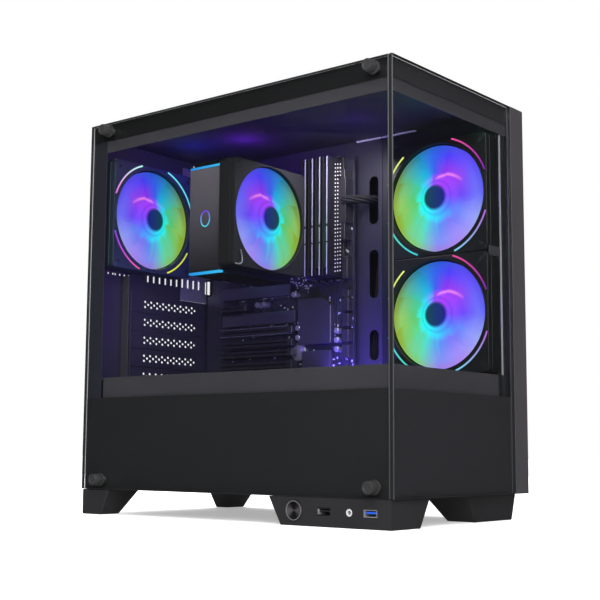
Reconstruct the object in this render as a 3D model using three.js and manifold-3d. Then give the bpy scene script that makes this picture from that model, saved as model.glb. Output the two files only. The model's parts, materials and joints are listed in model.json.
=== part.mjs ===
// Desktop computer tower with a glass front and a glass left side, in millimetres, +Z up.
// The front faces -Y and the glass side faces -X. Inside the group "tower" the coordinates are
// those of the case body: x from the outer face of the left glass, y from the outer face of the
// front glass, z from the underside of the case floor. The group then puts the origin at the
// bottom centre of the whole object.
import * as THREE from 'three';
import { mergeVertices } from 'three/addons/utils/BufferGeometryUtils.js';
import Module from 'manifold-3d';

const wasm = await Module();
wasm.setup();

// Body
const WIDTH = 237;
const DEPTH = 400;
const HEIGHT = 392;
const FOOT = 26;
const SHEET = 1.2;
const GLASS = 4;
const GAP = 0.3;
const FILTER = 3;

// What stands out beyond the body
const KNOB_REACH = 12;
const REAR_REACH = 11;

// Skeleton
const FRAME = 5;                      // outer face of the frame behind the glass
const RAIL_BOTTOM = 360.5;            // lower edge of the rail under the roof
const ROOF = 381;                     // underside of the roof sheet
const SHROUD_TOP = 116.4;             // upper face of the power supply cover
const TRAY_X = 193;                   // motherboard side of the tray
const TRAY_BOTTOM = 92;
const TRAY_FRONT = 147;
const REAR_INNER = DEPTH - SHEET;
const LEFT_COLUMN_Y = 379;
const LEFT_COLUMN_X = 14;
const FRONT_GLASS_WIDTH = 211;
const PANEL_X = WIDTH - SHEET;

// Fans
const FAN_DEPTH = 22;
const HUB_RADIUS = 20;
const CASE_FAN = { half: 60, duct: 57, tip: 54.5 };
const COOLER_FAN = { half: 56, duct: 55, tip: 53.6 };
const BLADE_LOW = 4.6;                // heights of the blades above the back of a fan
const BLADE_HIGH = 19.5;
const BRACKET_DUCT = 56;
const SIDE_FAN_Y = 65;
const SIDE_FAN_Z = [178.1, 298.5];
const SIDE_FAN_BACK = TRAY_X - GAP;
const REAR_FAN = { x: 75, z: 297 };
const COOLER = { x: 86, y: 259, z: 281 };

// Motherboard
const BOARD = { front: 177, rear: 396, bottom: 118, top: 362, face: 184.4, back: 186 };
const SLOT_PITCH = 20.32;
const TOP_SLOT_Z = 204;
const SLOT_COUNT = 5;

// Power supply, held with its end plate in the rear panel
const PSU = { x0: 38, x1: 188, y0: 259.7, y1: 399.7, z0: 1.8, z1: 87.8, wall: 1.5 };
const PSU_FAN = { x: 113, y: 326, z: 4.2, radius: 58, depth: 20 };

// Front left foot with the controls
const PLINTH = { y0: 3.4, y1: 140, bottomY: 125.7, x0: 1, x1: 60.7, bottomX: 45.2, wall: 2 };
const PORT_Z = -12.5;
const BUTTON_Y = 110;
const USB_BLACK_Y = 76;
const JACK_Y = 48.4;
const USB_BLUE_Y = 25.5;
const BUTTON_TRAVEL_ROOM = 2;

// Screws
const KNOB_Y = [20, 370];
const KNOB_Z = [10, 382];
const THUMBSCREW_Z = [60, 340];
const THUMBSCREW_X = 228;
const KNOB_HOLE = 3.4;
const KNOB_SHAFT = 6.6;
const THUMBSCREW_HOLE = 2.3;

const material = (color, roughness, metalness) =>
  new THREE.MeshStandardMaterial({ color, roughness, metalness });

const finishes = {
  blackSteel: () => material(0x17171a, 0.45, 0.6),
  graySteel: () => material(0x2b2b2e, 0.5, 0.5),
  tintedGlass: () => material(0x3a4048, 0.05, 0.0),
  blackPlastic: () => material(0x151516, 0.5, 0.0),
  frosted: () => material(0x9db6ff, 0.35, 0.0),
  board: () => material(0x0d0f12, 0.4, 0.1),
  aluminium: () => material(0x8d9096, 0.3, 0.9),
  bluePlastic: () => material(0x1c4fd0, 0.4, 0.0),
  metal: () => material(0xb8babd, 0.25, 1.0),
  mesh: () => material(0x0c0c0d, 0.7, 0.2),
  cable: () => material(0x0b0b0c, 0.75, 0.0),
};

const tower = new THREE.Group();
tower.position.set(-(WIDTH - KNOB_REACH) / 2, -(DEPTH + REAR_REACH) / 2, FOOT);

function add(name, geometry, finish) {
  const mesh = new THREE.Mesh(geometry, finishes[finish]());
  mesh.name = name;
  tower.add(mesh);
  return mesh;
}

// ---- Solids -------------------------------------------------------------------------------

function box(x0, x1, y0, y1, z0, z1) {
  const geometry = new THREE.BoxGeometry(x1 - x0, y1 - y0, z1 - z0);
  geometry.translate((x0 + x1) / 2, (y0 + y1) / 2, (z0 + z1) / 2);
  return geometry;
}

// A cylinder along one axis, from a to b, centred on the two other coordinates in their order.
function rod(axis, a, b, u, v, radius, sides = 24) {
  const geometry = new THREE.CylinderGeometry(radius, radius, b - a, sides);
  const middle = (a + b) / 2;
  if (axis === 'x') {
    geometry.rotateZ(Math.PI / 2);
    geometry.translate(middle, u, v);
  } else if (axis === 'y') {
    geometry.translate(u, middle, v);
  } else {
    geometry.rotateX(Math.PI / 2);
    geometry.translate(u, v, middle);
  }
  return geometry;
}

// A block whose upper and lower faces are different rectangles: [x0, x1, y0, y1].
function tapered(upper, lower, z0, z1) {
  const geometry = new THREE.BoxGeometry(1, 1, 1);
  const position = geometry.attributes.position;
  for (let i = 0; i < position.count; i += 1) {
    const face = position.getZ(i) > 0 ? upper : lower;
    const x = position.getX(i) > 0 ? face[1] : face[0];
    const y = position.getY(i) > 0 ? face[3] : face[2];
    position.setXYZ(i, x, y, position.getZ(i) > 0 ? z1 : z0);
  }
  geometry.computeVertexNormals();
  return geometry;
}

function toSolid(geometry) {
  const bare = geometry.clone();
  bare.deleteAttribute('normal');
  bare.deleteAttribute('uv');
  const merged = mergeVertices(bare);
  return new wasm.Manifold(new wasm.Mesh({
    numProp: 3,
    vertProperties: merged.attributes.position.array,
    triVerts: new Uint32Array(merged.index.array),
  }));
}

function toGeometry(solid) {
  const mesh = solid.getMesh();
  const geometry = new THREE.BufferGeometry();
  geometry.setAttribute('position', new THREE.BufferAttribute(mesh.vertProperties, 3));
  geometry.setIndex(new THREE.BufferAttribute(mesh.triVerts, 1));
  geometry.computeVertexNormals();
  return geometry;
}

const join = (...pieces) => toGeometry(pieces.map(toSolid).reduce((a, b) => a.add(b)));

const cut = (piece, ...tools) =>
  toGeometry(tools.map(toSolid).reduce((a, b) => a.subtract(b), toSolid(piece)));

// A hole through a sheet that is square to x: a slot with round ends, tall in z.
function roundSlot(x0, x1, y0, y1, z0, z1) {
  const radius = (y1 - y0) / 2;
  const centre = (y0 + y1) / 2;
  return join(
    box(x0, x1, y0, y1, z0 + radius, z1 - radius),
    rod('x', x0, x1, centre, z0 + radius, radius, 16),
    rod('x', x0, x1, centre, z1 - radius, radius, 16),
  );
}

// ---- Case ---------------------------------------------------------------------------------

const SLOT_Z = Array.from({ length: SLOT_COUNT }, (_, i) => TOP_SLOT_Z - i * SLOT_PITCH);
const IO = { x0: 141, x1: 185.5, z0: 214.5, z1: 373.2 };
const SLOT_OPENING = { x0: 68, x1: 180, half: 6.4 };

const PAN_FLANGE = 24;
const PAN_VENT_RADIUS = 62;
const KNOB_HOLE_DEPTH = [0, 12];
const NOTCH = { x0: 186.5, x1: 192, z0: 226, z1: 242 };
const CABLE_SLOTS = { y0: 152, y1: 164, z: [[137, 170], [204, 257], [285, 338]] };
const COOLER_WINDOW = { y0: 205, y1: 305, z0: 230, z1: 340 };
const STANDOFF_RADIUS = 3;
const STANDOFFS = [[188, 124], [188, 196], [188, 356], [246, 124], [246, 196], [246, 356],
  [388, 124], [388, 356]];
const LID_REAR_GAP = 1.4;
const ROOF_FRONT = 13;                // the roof sheet starts behind the front corner trim
const PILLAR = { x0: 200.2, y0: 6.5, wallY: 24 };
const TRIM_RETURN = 12;
const BRACKET_FRONT = 7;
const FILTER_INSET = { left: 12, front: 15, rest: 3 };

function basePan() {
  const floor = box(FRAME, PANEL_X - GAP, FRAME, REAR_INNER - GAP, 0, SHEET);
  const leftFlange = box(FRAME, FRAME + SHEET, FRAME, LEFT_COLUMN_Y - GAP, 0, PAN_FLANGE);
  const frontFlange = box(FRAME, FRONT_GLASS_WIDTH - GAP, FRAME, FRAME + SHEET, 0, PAN_FLANGE);
  const holes = KNOB_Y.map((y) => rod('x', ...KNOB_HOLE_DEPTH, y, KNOB_Z[0], KNOB_HOLE, 12));
  const psuVent = rod('z', -1, 3, PSU_FAN.x, PSU_FAN.y, PAN_VENT_RADIUS, 24);
  return cut(join(floor, leftFlange, frontFlange), ...holes, psuVent);
}

function rearPanel() {
  const sheet = box(FRAME, PANEL_X - GAP, REAR_INNER, DEPTH, GAP, HEIGHT - GAP);
  const y = [REAR_INNER - 1, DEPTH + 1];
  const slots = SLOT_Z.map((z) => box(SLOT_OPENING.x0, SLOT_OPENING.x1, ...y,
    z - SLOT_OPENING.half, z + SLOT_OPENING.half));
  const screws = THUMBSCREW_Z.map((z) => rod('y', ...y, THUMBSCREW_X, z, THUMBSCREW_HOLE, 12));
  return cut(
    sheet,
    box(PSU.x0 - GAP, PSU.x1 + GAP, ...y, PSU.z0 - GAP, PSU.z1 + GAP),
    box(IO.x0, IO.x1, ...y, IO.z0, IO.z1),
    box(NOTCH.x0, NOTCH.x1, ...y, NOTCH.z0, NOTCH.z1),
    ...slots,
    ...screws,
  );
}

function motherboardTray() {
  const sheet = box(TRAY_X, TRAY_X + SHEET, TRAY_FRONT, REAR_INNER - GAP, TRAY_BOTTOM, ROOF - GAP);
  const through = [TRAY_X - 1, TRAY_X + SHEET + 1];
  const cableSlots = CABLE_SLOTS.z.map(([z0, z1]) =>
    roundSlot(...through, CABLE_SLOTS.y0, CABLE_SLOTS.y1, z0, z1));
  const w = COOLER_WINDOW;
  const window = box(...through, w.y0, w.y1, w.z0, w.z1);
  const standoffs = STANDOFFS.map(([y, z]) =>
    rod('x', BOARD.back + GAP, TRAY_X + SHEET / 2, y, z, STANDOFF_RADIUS, 8));
  return cut(join(sheet, ...standoffs), ...cableSlots, window);
}

function psuShroud() {
  const x0 = FRAME + SHEET + 1;
  const lid = box(x0, TRAY_X - GAP, x0, REAR_INNER - GAP - LID_REAR_GAP, SHROUD_TOP - SHEET, SHROUD_TOP);
  const side = box(x0, x0 + SHEET, x0, LEFT_COLUMN_Y - 1, SHEET + GAP, SHROUD_TOP);
  const front = box(x0, TRAY_X - GAP, x0, x0 + SHEET, SHEET + GAP, SHROUD_TOP);
  return join(lid, side, front);
}

function topRail() {
  const top = HEIGHT - GAP;
  const inner = FRAME + SHEET;
  const left = box(FRAME, inner, FRAME, LEFT_COLUMN_Y - GAP, RAIL_BOTTOM, top);
  const front = box(FRAME, FRONT_GLASS_WIDTH - GAP, FRAME, inner, RAIL_BOTTOM, top);
  const holes = KNOB_Y.map((y) => rod('x', ...KNOB_HOLE_DEPTH, y, KNOB_Z[1], KNOB_HOLE, 12));
  return cut(join(left, front), ...holes);
}

function topPanel() {
  const x0 = FRAME + SHEET + GAP;
  const x1 = PANEL_X - GAP;
  const y1 = REAR_INNER - GAP;
  const foldY = y1 - SHEET - GAP;
  const sheet = box(x0, x1, ROOF_FRONT, foldY, ROOF, ROOF + SHEET);
  const frontTongue = box(x0, FRONT_GLASS_WIDTH - GAP, x0, ROOF_FRONT + 1, ROOF, ROOF + SHEET);
  const right = box(x1 - SHEET, x1, ROOF_FRONT, y1, ROOF, HEIGHT - GAP);
  const rear = box(LEFT_COLUMN_X + GAP, x1, foldY, y1, ROOF, HEIGHT - GAP);
  const holes = KNOB_Y.map((y) => rod('x', ...KNOB_HOLE_DEPTH, y, KNOB_Z[1], KNOB_HOLE, 12));
  return cut(join(sheet, frontTongue, right, rear), ...holes);
}

function topFilter() {
  const base = ROOF + SHEET + GAP;
  const inset = FILTER_INSET;
  return box(inset.left, PANEL_X - inset.rest, inset.front, REAR_INNER - inset.rest,
    base, base + FILTER);
}

// A folded column: two walls that meet at a corner.
const column = (wallX, wallY) => join(box(...wallX), box(...wallY));

function cornerTrim() {
  const x0 = FRONT_GLASS_WIDTH + GAP;
  return column([x0, WIDTH, 0, SHEET, 0, HEIGHT],
    [WIDTH - SHEET, WIDTH, 0, TRIM_RETURN, 0, HEIGHT]);
}

function frontRightPillar() {
  const p = PILLAR;
  const z = [SHEET + GAP, ROOF - GAP];
  return column([p.x0, FRONT_GLASS_WIDTH - GAP, p.y0, p.y0 + SHEET, ...z],
    [p.x0, p.x0 + SHEET, p.y0, p.wallY, ...z]);
}

function rearLeftPillar() {
  const z = [SHEET + GAP, HEIGHT - GAP];
  const y1 = REAR_INNER - GAP;
  return column([FRAME, FRAME + SHEET, LEFT_COLUMN_Y, y1, ...z],
    [FRAME, LEFT_COLUMN_X, y1 - SHEET, y1, ...z]);
}

function fanBracket() {
  const x = [TRAY_X, TRAY_X + SHEET];
  const sheet = box(...x, BRACKET_FRONT, TRAY_FRONT - GAP, TRAY_BOTTOM, ROOF - GAP);
  const ducts = SIDE_FAN_Z.map((z) =>
    rod('x', TRAY_X - 1, TRAY_X + 3, SIDE_FAN_Y, z, BRACKET_DUCT, 32));
  return cut(sheet, ...ducts);
}

add('base_pan', basePan(), 'blackSteel');
add('rear_panel', rearPanel(), 'blackSteel');
add('motherboard_tray', motherboardTray(), 'blackSteel');
add('fan_bracket', fanBracket(), 'blackSteel');
add('psu_shroud', psuShroud(), 'graySteel');
add('top_rail', topRail(), 'blackSteel');
add('top_panel', topPanel(), 'blackSteel');
add('top_filter', topFilter(), 'mesh');
add('front_corner_trim', cornerTrim(), 'graySteel');
add('front_right_pillar', frontRightPillar(), 'blackSteel');
add('rear_left_pillar', rearLeftPillar(), 'blackSteel');

// ---- Panels and their screws --------------------------------------------------------------

const PANEL_FLANGE = 16;
const KNOB = { head: 5.8, shaft: 2.7 };
const THUMBSCREW = { head: 7, shaft: 1.7, length: 7 };

function leftGlass() {
  const holes = KNOB_Y.flatMap((y) => KNOB_Z.map((z) => rod('x', -1, GLASS + 1, y, z, KNOB_HOLE, 16)));
  return cut(box(0, GLASS, GLASS + 0.4, DEPTH, 0, HEIGHT), ...holes);
}

function rightPanel() {
  const x0 = WIDTH - SHEET;
  const rearY = DEPTH + GAP;
  const sheet = box(x0, WIDTH, TRIM_RETURN + GAP, rearY + SHEET, GAP, HEIGHT - GAP);
  const flange = box(WIDTH - PANEL_FLANGE, WIDTH, rearY, rearY + SHEET, GAP, HEIGHT - GAP);
  const holes = THUMBSCREW_Z.map((z) =>
    rod('y', DEPTH - 1, DEPTH + 3, THUMBSCREW_X, z, THUMBSCREW_HOLE, 12));
  return cut(join(sheet, flange), ...holes);
}

// A screw turned on a lathe along +Z: head from 0 up, shaft from 0 down.
function screw(headRadius, headHeight, shaftRadius, shaftLength) {
  const outline = [
    [0, -shaftLength],
    [shaftRadius, -shaftLength],
    [shaftRadius, 0],
    [headRadius, 0],
    [headRadius, headHeight - 0.8],
    [headRadius - 0.8, headHeight],
    [0, headHeight],
  ];
  const geometry = new THREE.LatheGeometry(outline.map(([r, z]) => new THREE.Vector2(r, z)), 16);
  return geometry.rotateX(Math.PI / 2);
}

add('left_glass', leftGlass(), 'tintedGlass');
add('front_glass', box(0, FRONT_GLASS_WIDTH, 0, GLASS, 0, HEIGHT), 'tintedGlass');
add('right_panel', rightPanel(), 'blackSteel');
KNOB_Z.forEach((z, level) => KNOB_Y.forEach((y, end) => {
  const name = `glass_knob_${['front', 'rear'][end]}_${['lower', 'upper'][level]}`;
  const knob = add(name, screw(KNOB.head, KNOB_REACH - GAP, KNOB.shaft, KNOB_SHAFT), 'blackPlastic');
  knob.rotation.y = -Math.PI / 2;
  knob.position.set(-GAP, y, z);
}));
THUMBSCREW_Z.forEach((z, level) => {
  const head = DEPTH + GAP + SHEET + GAP;
  const name = `panel_screw_${['lower', 'upper'][level]}`;
  const t = THUMBSCREW;
  const reach = DEPTH + REAR_REACH - head;
  const thumbscrew = add(name, screw(t.head, reach, t.shaft, t.length), 'blackPlastic');
  thumbscrew.rotation.x = -Math.PI / 2;
  thumbscrew.position.set(THUMBSCREW_X, head, z);
});

// ---- Feet and the controls in the front left foot -----------------------------------------

const USB = { halfY: 7.1, halfZ: 3.3, wall: 0.7, length: 15, mouth: 12 };
const JACK = { radius: 3.4, hole: 1.8, length: 14 };
const BUTTON = { radius: 9, cap: 4, stem: 3, length: 12 };
const PORT_ROOM = 0.4;
const PORT_X = PLINTH.x0 + 0.2;
const IO_BOARD = { y0: 14, y1: 122, half: 9, thick: 1.6 };

function plinth() {
  const p = PLINTH;
  const shell = tapered([p.x0, p.x1, p.y0, p.y1], [p.x0, p.bottomX, p.y0, p.bottomY], -FOOT, -GAP);
  const w = p.wall;
  const room = tapered([p.x0 + w, p.x1 - w, p.y0 + w, p.y1 - w],
    [p.x0 + w, p.bottomX - w, p.y0 + w, p.bottomY - w], -FOOT + w, 1);
  const x = [-1, p.x0 + w + 1];
  const z = [PORT_Z - USB.halfZ - GAP, PORT_Z + USB.halfZ + GAP];
  const usbHalf = USB.halfY + PORT_ROOM;
  return cut(
    shell,
    room,
    rod('x', ...x, BUTTON_Y, PORT_Z, BUTTON.radius + 0.6, 32),
    ...[USB_BLACK_Y, USB_BLUE_Y].map((y) => box(...x, y - usbHalf, y + usbHalf, ...z)),
    rod('x', ...x, JACK_Y, PORT_Z, JACK.radius + PORT_ROOM, 20),
  );
}

function usbPort(y) {
  const u = USB;
  const x0 = PORT_X;
  const shell = box(x0, x0 + u.length, y - u.halfY, y + u.halfY,
    PORT_Z - u.halfZ, PORT_Z + u.halfZ);
  const mouth = box(x0 - 1, x0 + u.mouth, y - u.halfY + u.wall, y + u.halfY - u.wall,
    PORT_Z - u.halfZ + u.wall, PORT_Z + u.halfZ - u.wall);
  return cut(shell, mouth);
}

function audioJack() {
  const barrel = rod('x', PORT_X, PORT_X + JACK.length, JACK_Y, PORT_Z, JACK.radius, 20);
  return cut(barrel,
    rod('x', PORT_X - 1, PORT_X + JACK.length - 2, JACK_Y, PORT_Z, JACK.hole, 16));
}

function powerButton() {
  const x0 = PLINTH.x0 - 0.6;
  const b = BUTTON;
  const cap = rod('x', x0, x0 + b.cap, BUTTON_Y, PORT_Z, b.radius, 32);
  const stem = rod('x', x0 + b.cap - 1, x0 + b.length, BUTTON_Y, PORT_Z, b.stem, 12);
  return join(cap, stem);
}

const boardX = PORT_X + USB.length + GAP;
const ioBoard = box(boardX, boardX + IO_BOARD.thick, IO_BOARD.y0, IO_BOARD.y1,
  PORT_Z - IO_BOARD.half, PORT_Z + IO_BOARD.half);
const stemRoom = rod('x', boardX - 1, boardX + IO_BOARD.thick + 1, BUTTON_Y, PORT_Z,
  BUTTON.stem + BUTTON_TRAVEL_ROOM, 16);

add('io_plinth', plinth(), 'blackPlastic');
add('power_button', powerButton(), 'blackPlastic');
add('usb_port_black', usbPort(USB_BLACK_Y), 'blackPlastic');
add('usb_port_blue', usbPort(USB_BLUE_Y), 'bluePlastic');
add('audio_jack', audioJack(), 'metal');
add('front_io_board', cut(ioBoard, stemRoom), 'board');

// Each foot as [x0, x1, y0, y1] at its top and at the floor.
const FEET = {
  foot_rear_left: [[1, 46, 358.5, 399], [1, 27, 369.7, 398.6]],
  foot_rear_right: [[191, 236, 358.5, 399], [207, 236, 380, 398.6]],
  foot_front_right: [[137, 228, 10, 60], [157, 227, 14, 46]],
};
for (const [name, [upper, lower]] of Object.entries(FEET)) {
  add(name, tapered(upper, lower, -FOOT, -GAP), 'blackPlastic');
}

// ---- Fans: the blades show on the +Z side of a fan, and its struts are at z = 0 -----------

const FRAME_CORNER = 6;
const MOTOR_BASE = 3;

function fanFrame(half, ductRadius) {
  const outline = new THREE.Shape();
  const corner = FRAME_CORNER;
  outline.moveTo(half, half - corner);
  outline.absarc(half - corner, half - corner, corner, 0, Math.PI / 2);
  outline.absarc(corner - half, half - corner, corner, Math.PI / 2, Math.PI);
  outline.absarc(corner - half, corner - half, corner, Math.PI, Math.PI * 1.5);
  outline.absarc(half - corner, corner - half, corner, Math.PI * 1.5, Math.PI * 2);
  const duct = new THREE.Path();
  duct.absarc(0, 0, ductRadius, 0, Math.PI * 2, true);
  outline.holes.push(duct);
  const body = new THREE.ExtrudeGeometry(outline, {
    depth: FAN_DEPTH,
    bevelEnabled: false,
    curveSegments: 16,
  });
  const struts = [0, 1, 2, 3].map((i) => {
    const strut = box(HUB_RADIUS - 3, ductRadius + 1, -2, 2, 0, MOTOR_BASE);
    return strut.rotateZ((i + 0.5) * Math.PI / 2);
  });
  return join(body, rod('z', 0, MOTOR_BASE, 0, 0, HUB_RADIUS, 24), ...struts);
}

function fanRotor(tip, low, high, count) {
  const blades = Array.from({ length: count }, (_, i) => {
    const chord = (high - low) * 1.25;
    const blade = box(HUB_RADIUS - 3, tip, -chord / 2, chord / 2, -0.8, 0.8);
    blade.rotateX(-Math.PI / 4);
    blade.translate(0, 0, (low + high) / 2);
    return blade.rotateZ(i * 2 * Math.PI / count);
  });
  return join(rod('z', low - 1, high + 1, 0, 0, HUB_RADIUS, 24), ...blades);
}

// Frame and rotor at one place; turn is the rotation that points the blade side outwards.
function fan(name, size, position, turn) {
  const frame = add(`${name}_frame`, fanFrame(size.half, size.duct), 'blackPlastic');
  const rotor = add(`${name}_rotor`, fanRotor(size.tip, BLADE_LOW, BLADE_HIGH, 9), 'frosted');
  for (const piece of [frame, rotor]) {
    piece.position.set(...position);
    piece.rotation.set(...turn);
  }
}

const FACE_LEFT = [0, -Math.PI / 2, 0];
const FACE_FRONT = [Math.PI / 2, 0, 0];
const COOLER_HALF = 23;               // half the depth of the cooler's fins

fan('side_fan_lower', CASE_FAN, [SIDE_FAN_BACK, SIDE_FAN_Y, SIDE_FAN_Z[0]], FACE_LEFT);
fan('side_fan_upper', CASE_FAN, [SIDE_FAN_BACK, SIDE_FAN_Y, SIDE_FAN_Z[1]], FACE_LEFT);
fan('rear_fan', CASE_FAN, [REAR_FAN.x, REAR_INNER - GAP, REAR_FAN.z], FACE_FRONT);
fan('cooler_fan', COOLER_FAN, [COOLER.x, COOLER.y - COOLER_HALF - GAP, COOLER.z], FACE_FRONT);

// ---- Motherboard and what is on it --------------------------------------------------------

const face = BOARD.face - GAP;

const FIN = { first: 42, pitch: 11, thick: 6, count: 10, halfZ: 60 };
const PIPE = { dy: 14, dz: 16, radius: 3, x0: 40, x1: 177 };
const COOLER_BASE = { x0: 172, x1: 179.4, halfY: 20, halfZ: 24 };
const CPU = { x0: 179.7, half: 18.7 };
const COVER = { x0: 34, x1: 39.7, halfY: 22, z0: 221, z1: 334 };

function coolerHeatsink() {
  const { y, z } = COOLER;
  const fins = Array.from({ length: FIN.count }, (_, i) => {
    const x = FIN.first + i * FIN.pitch;
    return box(x, x + FIN.thick, y - COOLER_HALF, y + COOLER_HALF, z - FIN.halfZ, z + FIN.halfZ);
  });
  const pipes = [-PIPE.dy, PIPE.dy].flatMap((dy) => [-PIPE.dz, PIPE.dz].map((dz) =>
    rod('x', PIPE.x0, PIPE.x1, y + dy, z + dz, PIPE.radius, 8)));
  const b = COOLER_BASE;
  const base = box(b.x0, b.x1, y - b.halfY, y + b.halfY, z - b.halfZ, z + b.halfZ);
  return join(base, ...fins, ...pipes);
}

add('motherboard',
  box(BOARD.face, BOARD.back, BOARD.front, BOARD.rear, BOARD.bottom, BOARD.top), 'board');
add('cpu', box(CPU.x0, face, COOLER.y - CPU.half, COOLER.y + CPU.half,
  COOLER.z - CPU.half, COOLER.z + CPU.half), 'aluminium');
add('cooler_heatsink', coolerHeatsink(), 'aluminium');
add('cooler_cover', box(COVER.x0, COVER.x1, COOLER.y - COVER.halfY, COOLER.y + COVER.halfY,
  COVER.z0, COVER.z1), 'blackPlastic');

const DIMM_Y = [192, 202, 212, 222];
const DIMM = { x0: 150, x1: 177, half: 3.6, z0: 226, z1: 359 };
const DIMM_SOCKET = { x0: 176, half: 3.2, z0: 223, z1: 361.5 };
DIMM_Y.forEach((y, i) => {
  const d = DIMM;
  const k = DIMM_SOCKET;
  const stick = box(d.x0, d.x1, y - d.half, y + d.half, d.z0, d.z1);
  const socket = box(k.x0, face, y - k.half, y + k.half, k.z0, k.z1);
  add(`memory_module_${i + 1}`, join(stick, socket), 'blackPlastic');
});
add('vrm_heatsink', box(156, face, 290, 366, 346, 361), 'aluminium');
add('chipset_heatsink', box(176, face, 204, 250, 157, 208), 'aluminium');
add('expansion_slot', box(173, face, 262, 364, 171, 179), 'blackPlastic');

// Rear sockets as [height of the middle, height of the mouth].
const IO_MOUTHS = [[250, 5.4], [259, 5.4], [276, 5.4], [285, 5.4], [303, 9]];
const MOUTH = { x0: 153, x1: 166, bottomY: 384, room: 0.6 };
const IO_BLOCK = { x0: 149, y0: 374, y1: 397, z0: 243, z1: 357 };

function rearIoBlock() {
  const b = IO_BLOCK;
  const block = box(b.x0, face, b.y0, b.y1, b.z0, b.z1);
  const mouths = IO_MOUTHS.map(([z, tall]) =>
    box(MOUTH.x0, MOUTH.x1, MOUTH.bottomY, b.y1 + 2, z - tall / 2, z + tall / 2));
  return cut(block, ...mouths);
}

function ioShield() {
  const plate = box(IO.x0 + GAP, IO.x1 - GAP, REAR_INNER, DEPTH - 0.2, IO.z0 + GAP, IO.z1 - GAP);
  const mouths = IO_MOUTHS.map(([z, tall]) =>
    box(MOUTH.x0 - MOUTH.room, MOUTH.x1 + MOUTH.room, REAR_INNER - 1, DEPTH + 1,
      z - tall / 2 - MOUTH.room, z + tall / 2 + MOUTH.room));
  return cut(plate, ...mouths);
}

const SLOT_COVER = { x0: 58, x1: 183, thick: 1, half: 9.2 };

add('rear_io_block', rearIoBlock(), 'metal');
add('io_shield', ioShield(), 'metal');
SLOT_Z.forEach((z, i) => {
  const y1 = REAR_INNER - GAP;
  const c = SLOT_COVER;
  add(`slot_cover_${i + 1}`,
    box(c.x0, c.x1, y1 - c.thick, y1, z - c.half, z + c.half), 'blackSteel');
});

// ---- Power supply -------------------------------------------------------------------------

const INLET = { x: 68, z: 44.8, halfX: 13.5, halfZ: 10, depth: 18, floor: 3, wall: 2 };
const SWITCH = { x: 68, z: 70, halfX: 9.5, halfZ: 6.5, inset: 4 };

function psuCase() {
  const p = PSU;
  const w = p.wall;
  const shell = box(p.x0, p.x1, p.y0, p.y1, p.z0, p.z1);
  const room = box(p.x0 + w, p.x1 - w, p.y0 + w, p.y1 - w, p.z0 + w, p.z1 - w);
  const fanMouth = rod('z', 0, 4, PSU_FAN.x, PSU_FAN.y, PSU_FAN.radius + 2, 32);
  const y = [p.y1 - 4, p.y1 + 1];
  return cut(
    shell,
    room,
    fanMouth,
    box(INLET.x - INLET.halfX - GAP, INLET.x + INLET.halfX + GAP, ...y,
      INLET.z - INLET.halfZ - GAP, INLET.z + INLET.halfZ + GAP),
    box(SWITCH.x - SWITCH.halfX - GAP, SWITCH.x + SWITCH.halfX + GAP, ...y,
      SWITCH.z - SWITCH.halfZ - 1, SWITCH.z + SWITCH.halfZ + 1),
  );
}

function psuInlet() {
  const i = INLET;
  const body = box(i.x - i.halfX, i.x + i.halfX, PSU.y1 - i.depth, PSU.y1,
    i.z - i.halfZ, i.z + i.halfZ);
  const mouth = box(i.x - i.halfX + i.wall, i.x + i.halfX - i.wall,
    PSU.y1 - i.depth + i.floor, PSU.y1 + 1, i.z - i.halfZ + i.wall, i.z + i.halfZ - i.wall);
  return cut(body, mouth);
}

// The rocker is a half round drum whose axis runs along x, just inside the end plate.
function psuSwitch() {
  const s = SWITCH;
  const axisY = PSU.y1 - s.inset;
  const drum = rod('x', s.x - s.halfX, s.x + s.halfX, axisY, s.z, s.halfZ - GAP, 24);
  const behind = box(s.x - 20, s.x + 20, axisY - 20, axisY - 1, s.z - 10, s.z + 10);
  return cut(drum, behind);
}

add('psu_case', psuCase(), 'blackSteel');
add('psu_inlet', psuInlet(), 'blackPlastic');
add('psu_switch', psuSwitch(), 'blackPlastic');
const psuRotor = add('psu_fan_rotor', fanRotor(PSU_FAN.radius, 1, PSU_FAN.depth, 7), 'frosted');
psuRotor.position.set(PSU_FAN.x, PSU_FAN.y, PSU_FAN.z);

// ---- Main power cable: board, cable slot, behind the tray, power supply ----------------------

function powerCable() {
  const route = new THREE.CatmullRomCurve3([
    new THREE.Vector3(171, 184, 311),
    new THREE.Vector3(174, 172, 311),
    new THREE.Vector3(184, 160, 311),
    new THREE.Vector3(200, 158, 311),
    new THREE.Vector3(212, 159, 298),
    new THREE.Vector3(213, 162, 250),
    new THREE.Vector3(213, 172, 150),
    new THREE.Vector3(211, 190, 80),
    new THREE.Vector3(198, 214, 50),
    new THREE.Vector3(176, 234, 42),
    new THREE.Vector3(170, 247, 42),
    new THREE.Vector3(170, PSU.y0 - 1, 42),
  ], false, 'centripetal');
  const section = new THREE.Shape();
  section.absarc(0, 0, 5, 0, Math.PI * 2);
  return new THREE.ExtrudeGeometry(section, { steps: 40, curveSegments: 4, extrudePath: route });
}

add('power_cable', powerCable(), 'cable');

export default tower;
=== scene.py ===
# %% [markdown]
# # A desktop computer tower
# This lesson dresses a finished CAD model of a computer tower. The CAD gives the solids, their
# places and how they move. Here each visible piece gets its fine shape and its finish: folded
# and punched sheet steel, tempered glass, lit fans, a motherboard and the sockets in its foot.

import json
from math import cos, pi, radians, sin

import bmesh
import bpy
import numpy as np
from mathutils import Matrix, Vector


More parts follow.
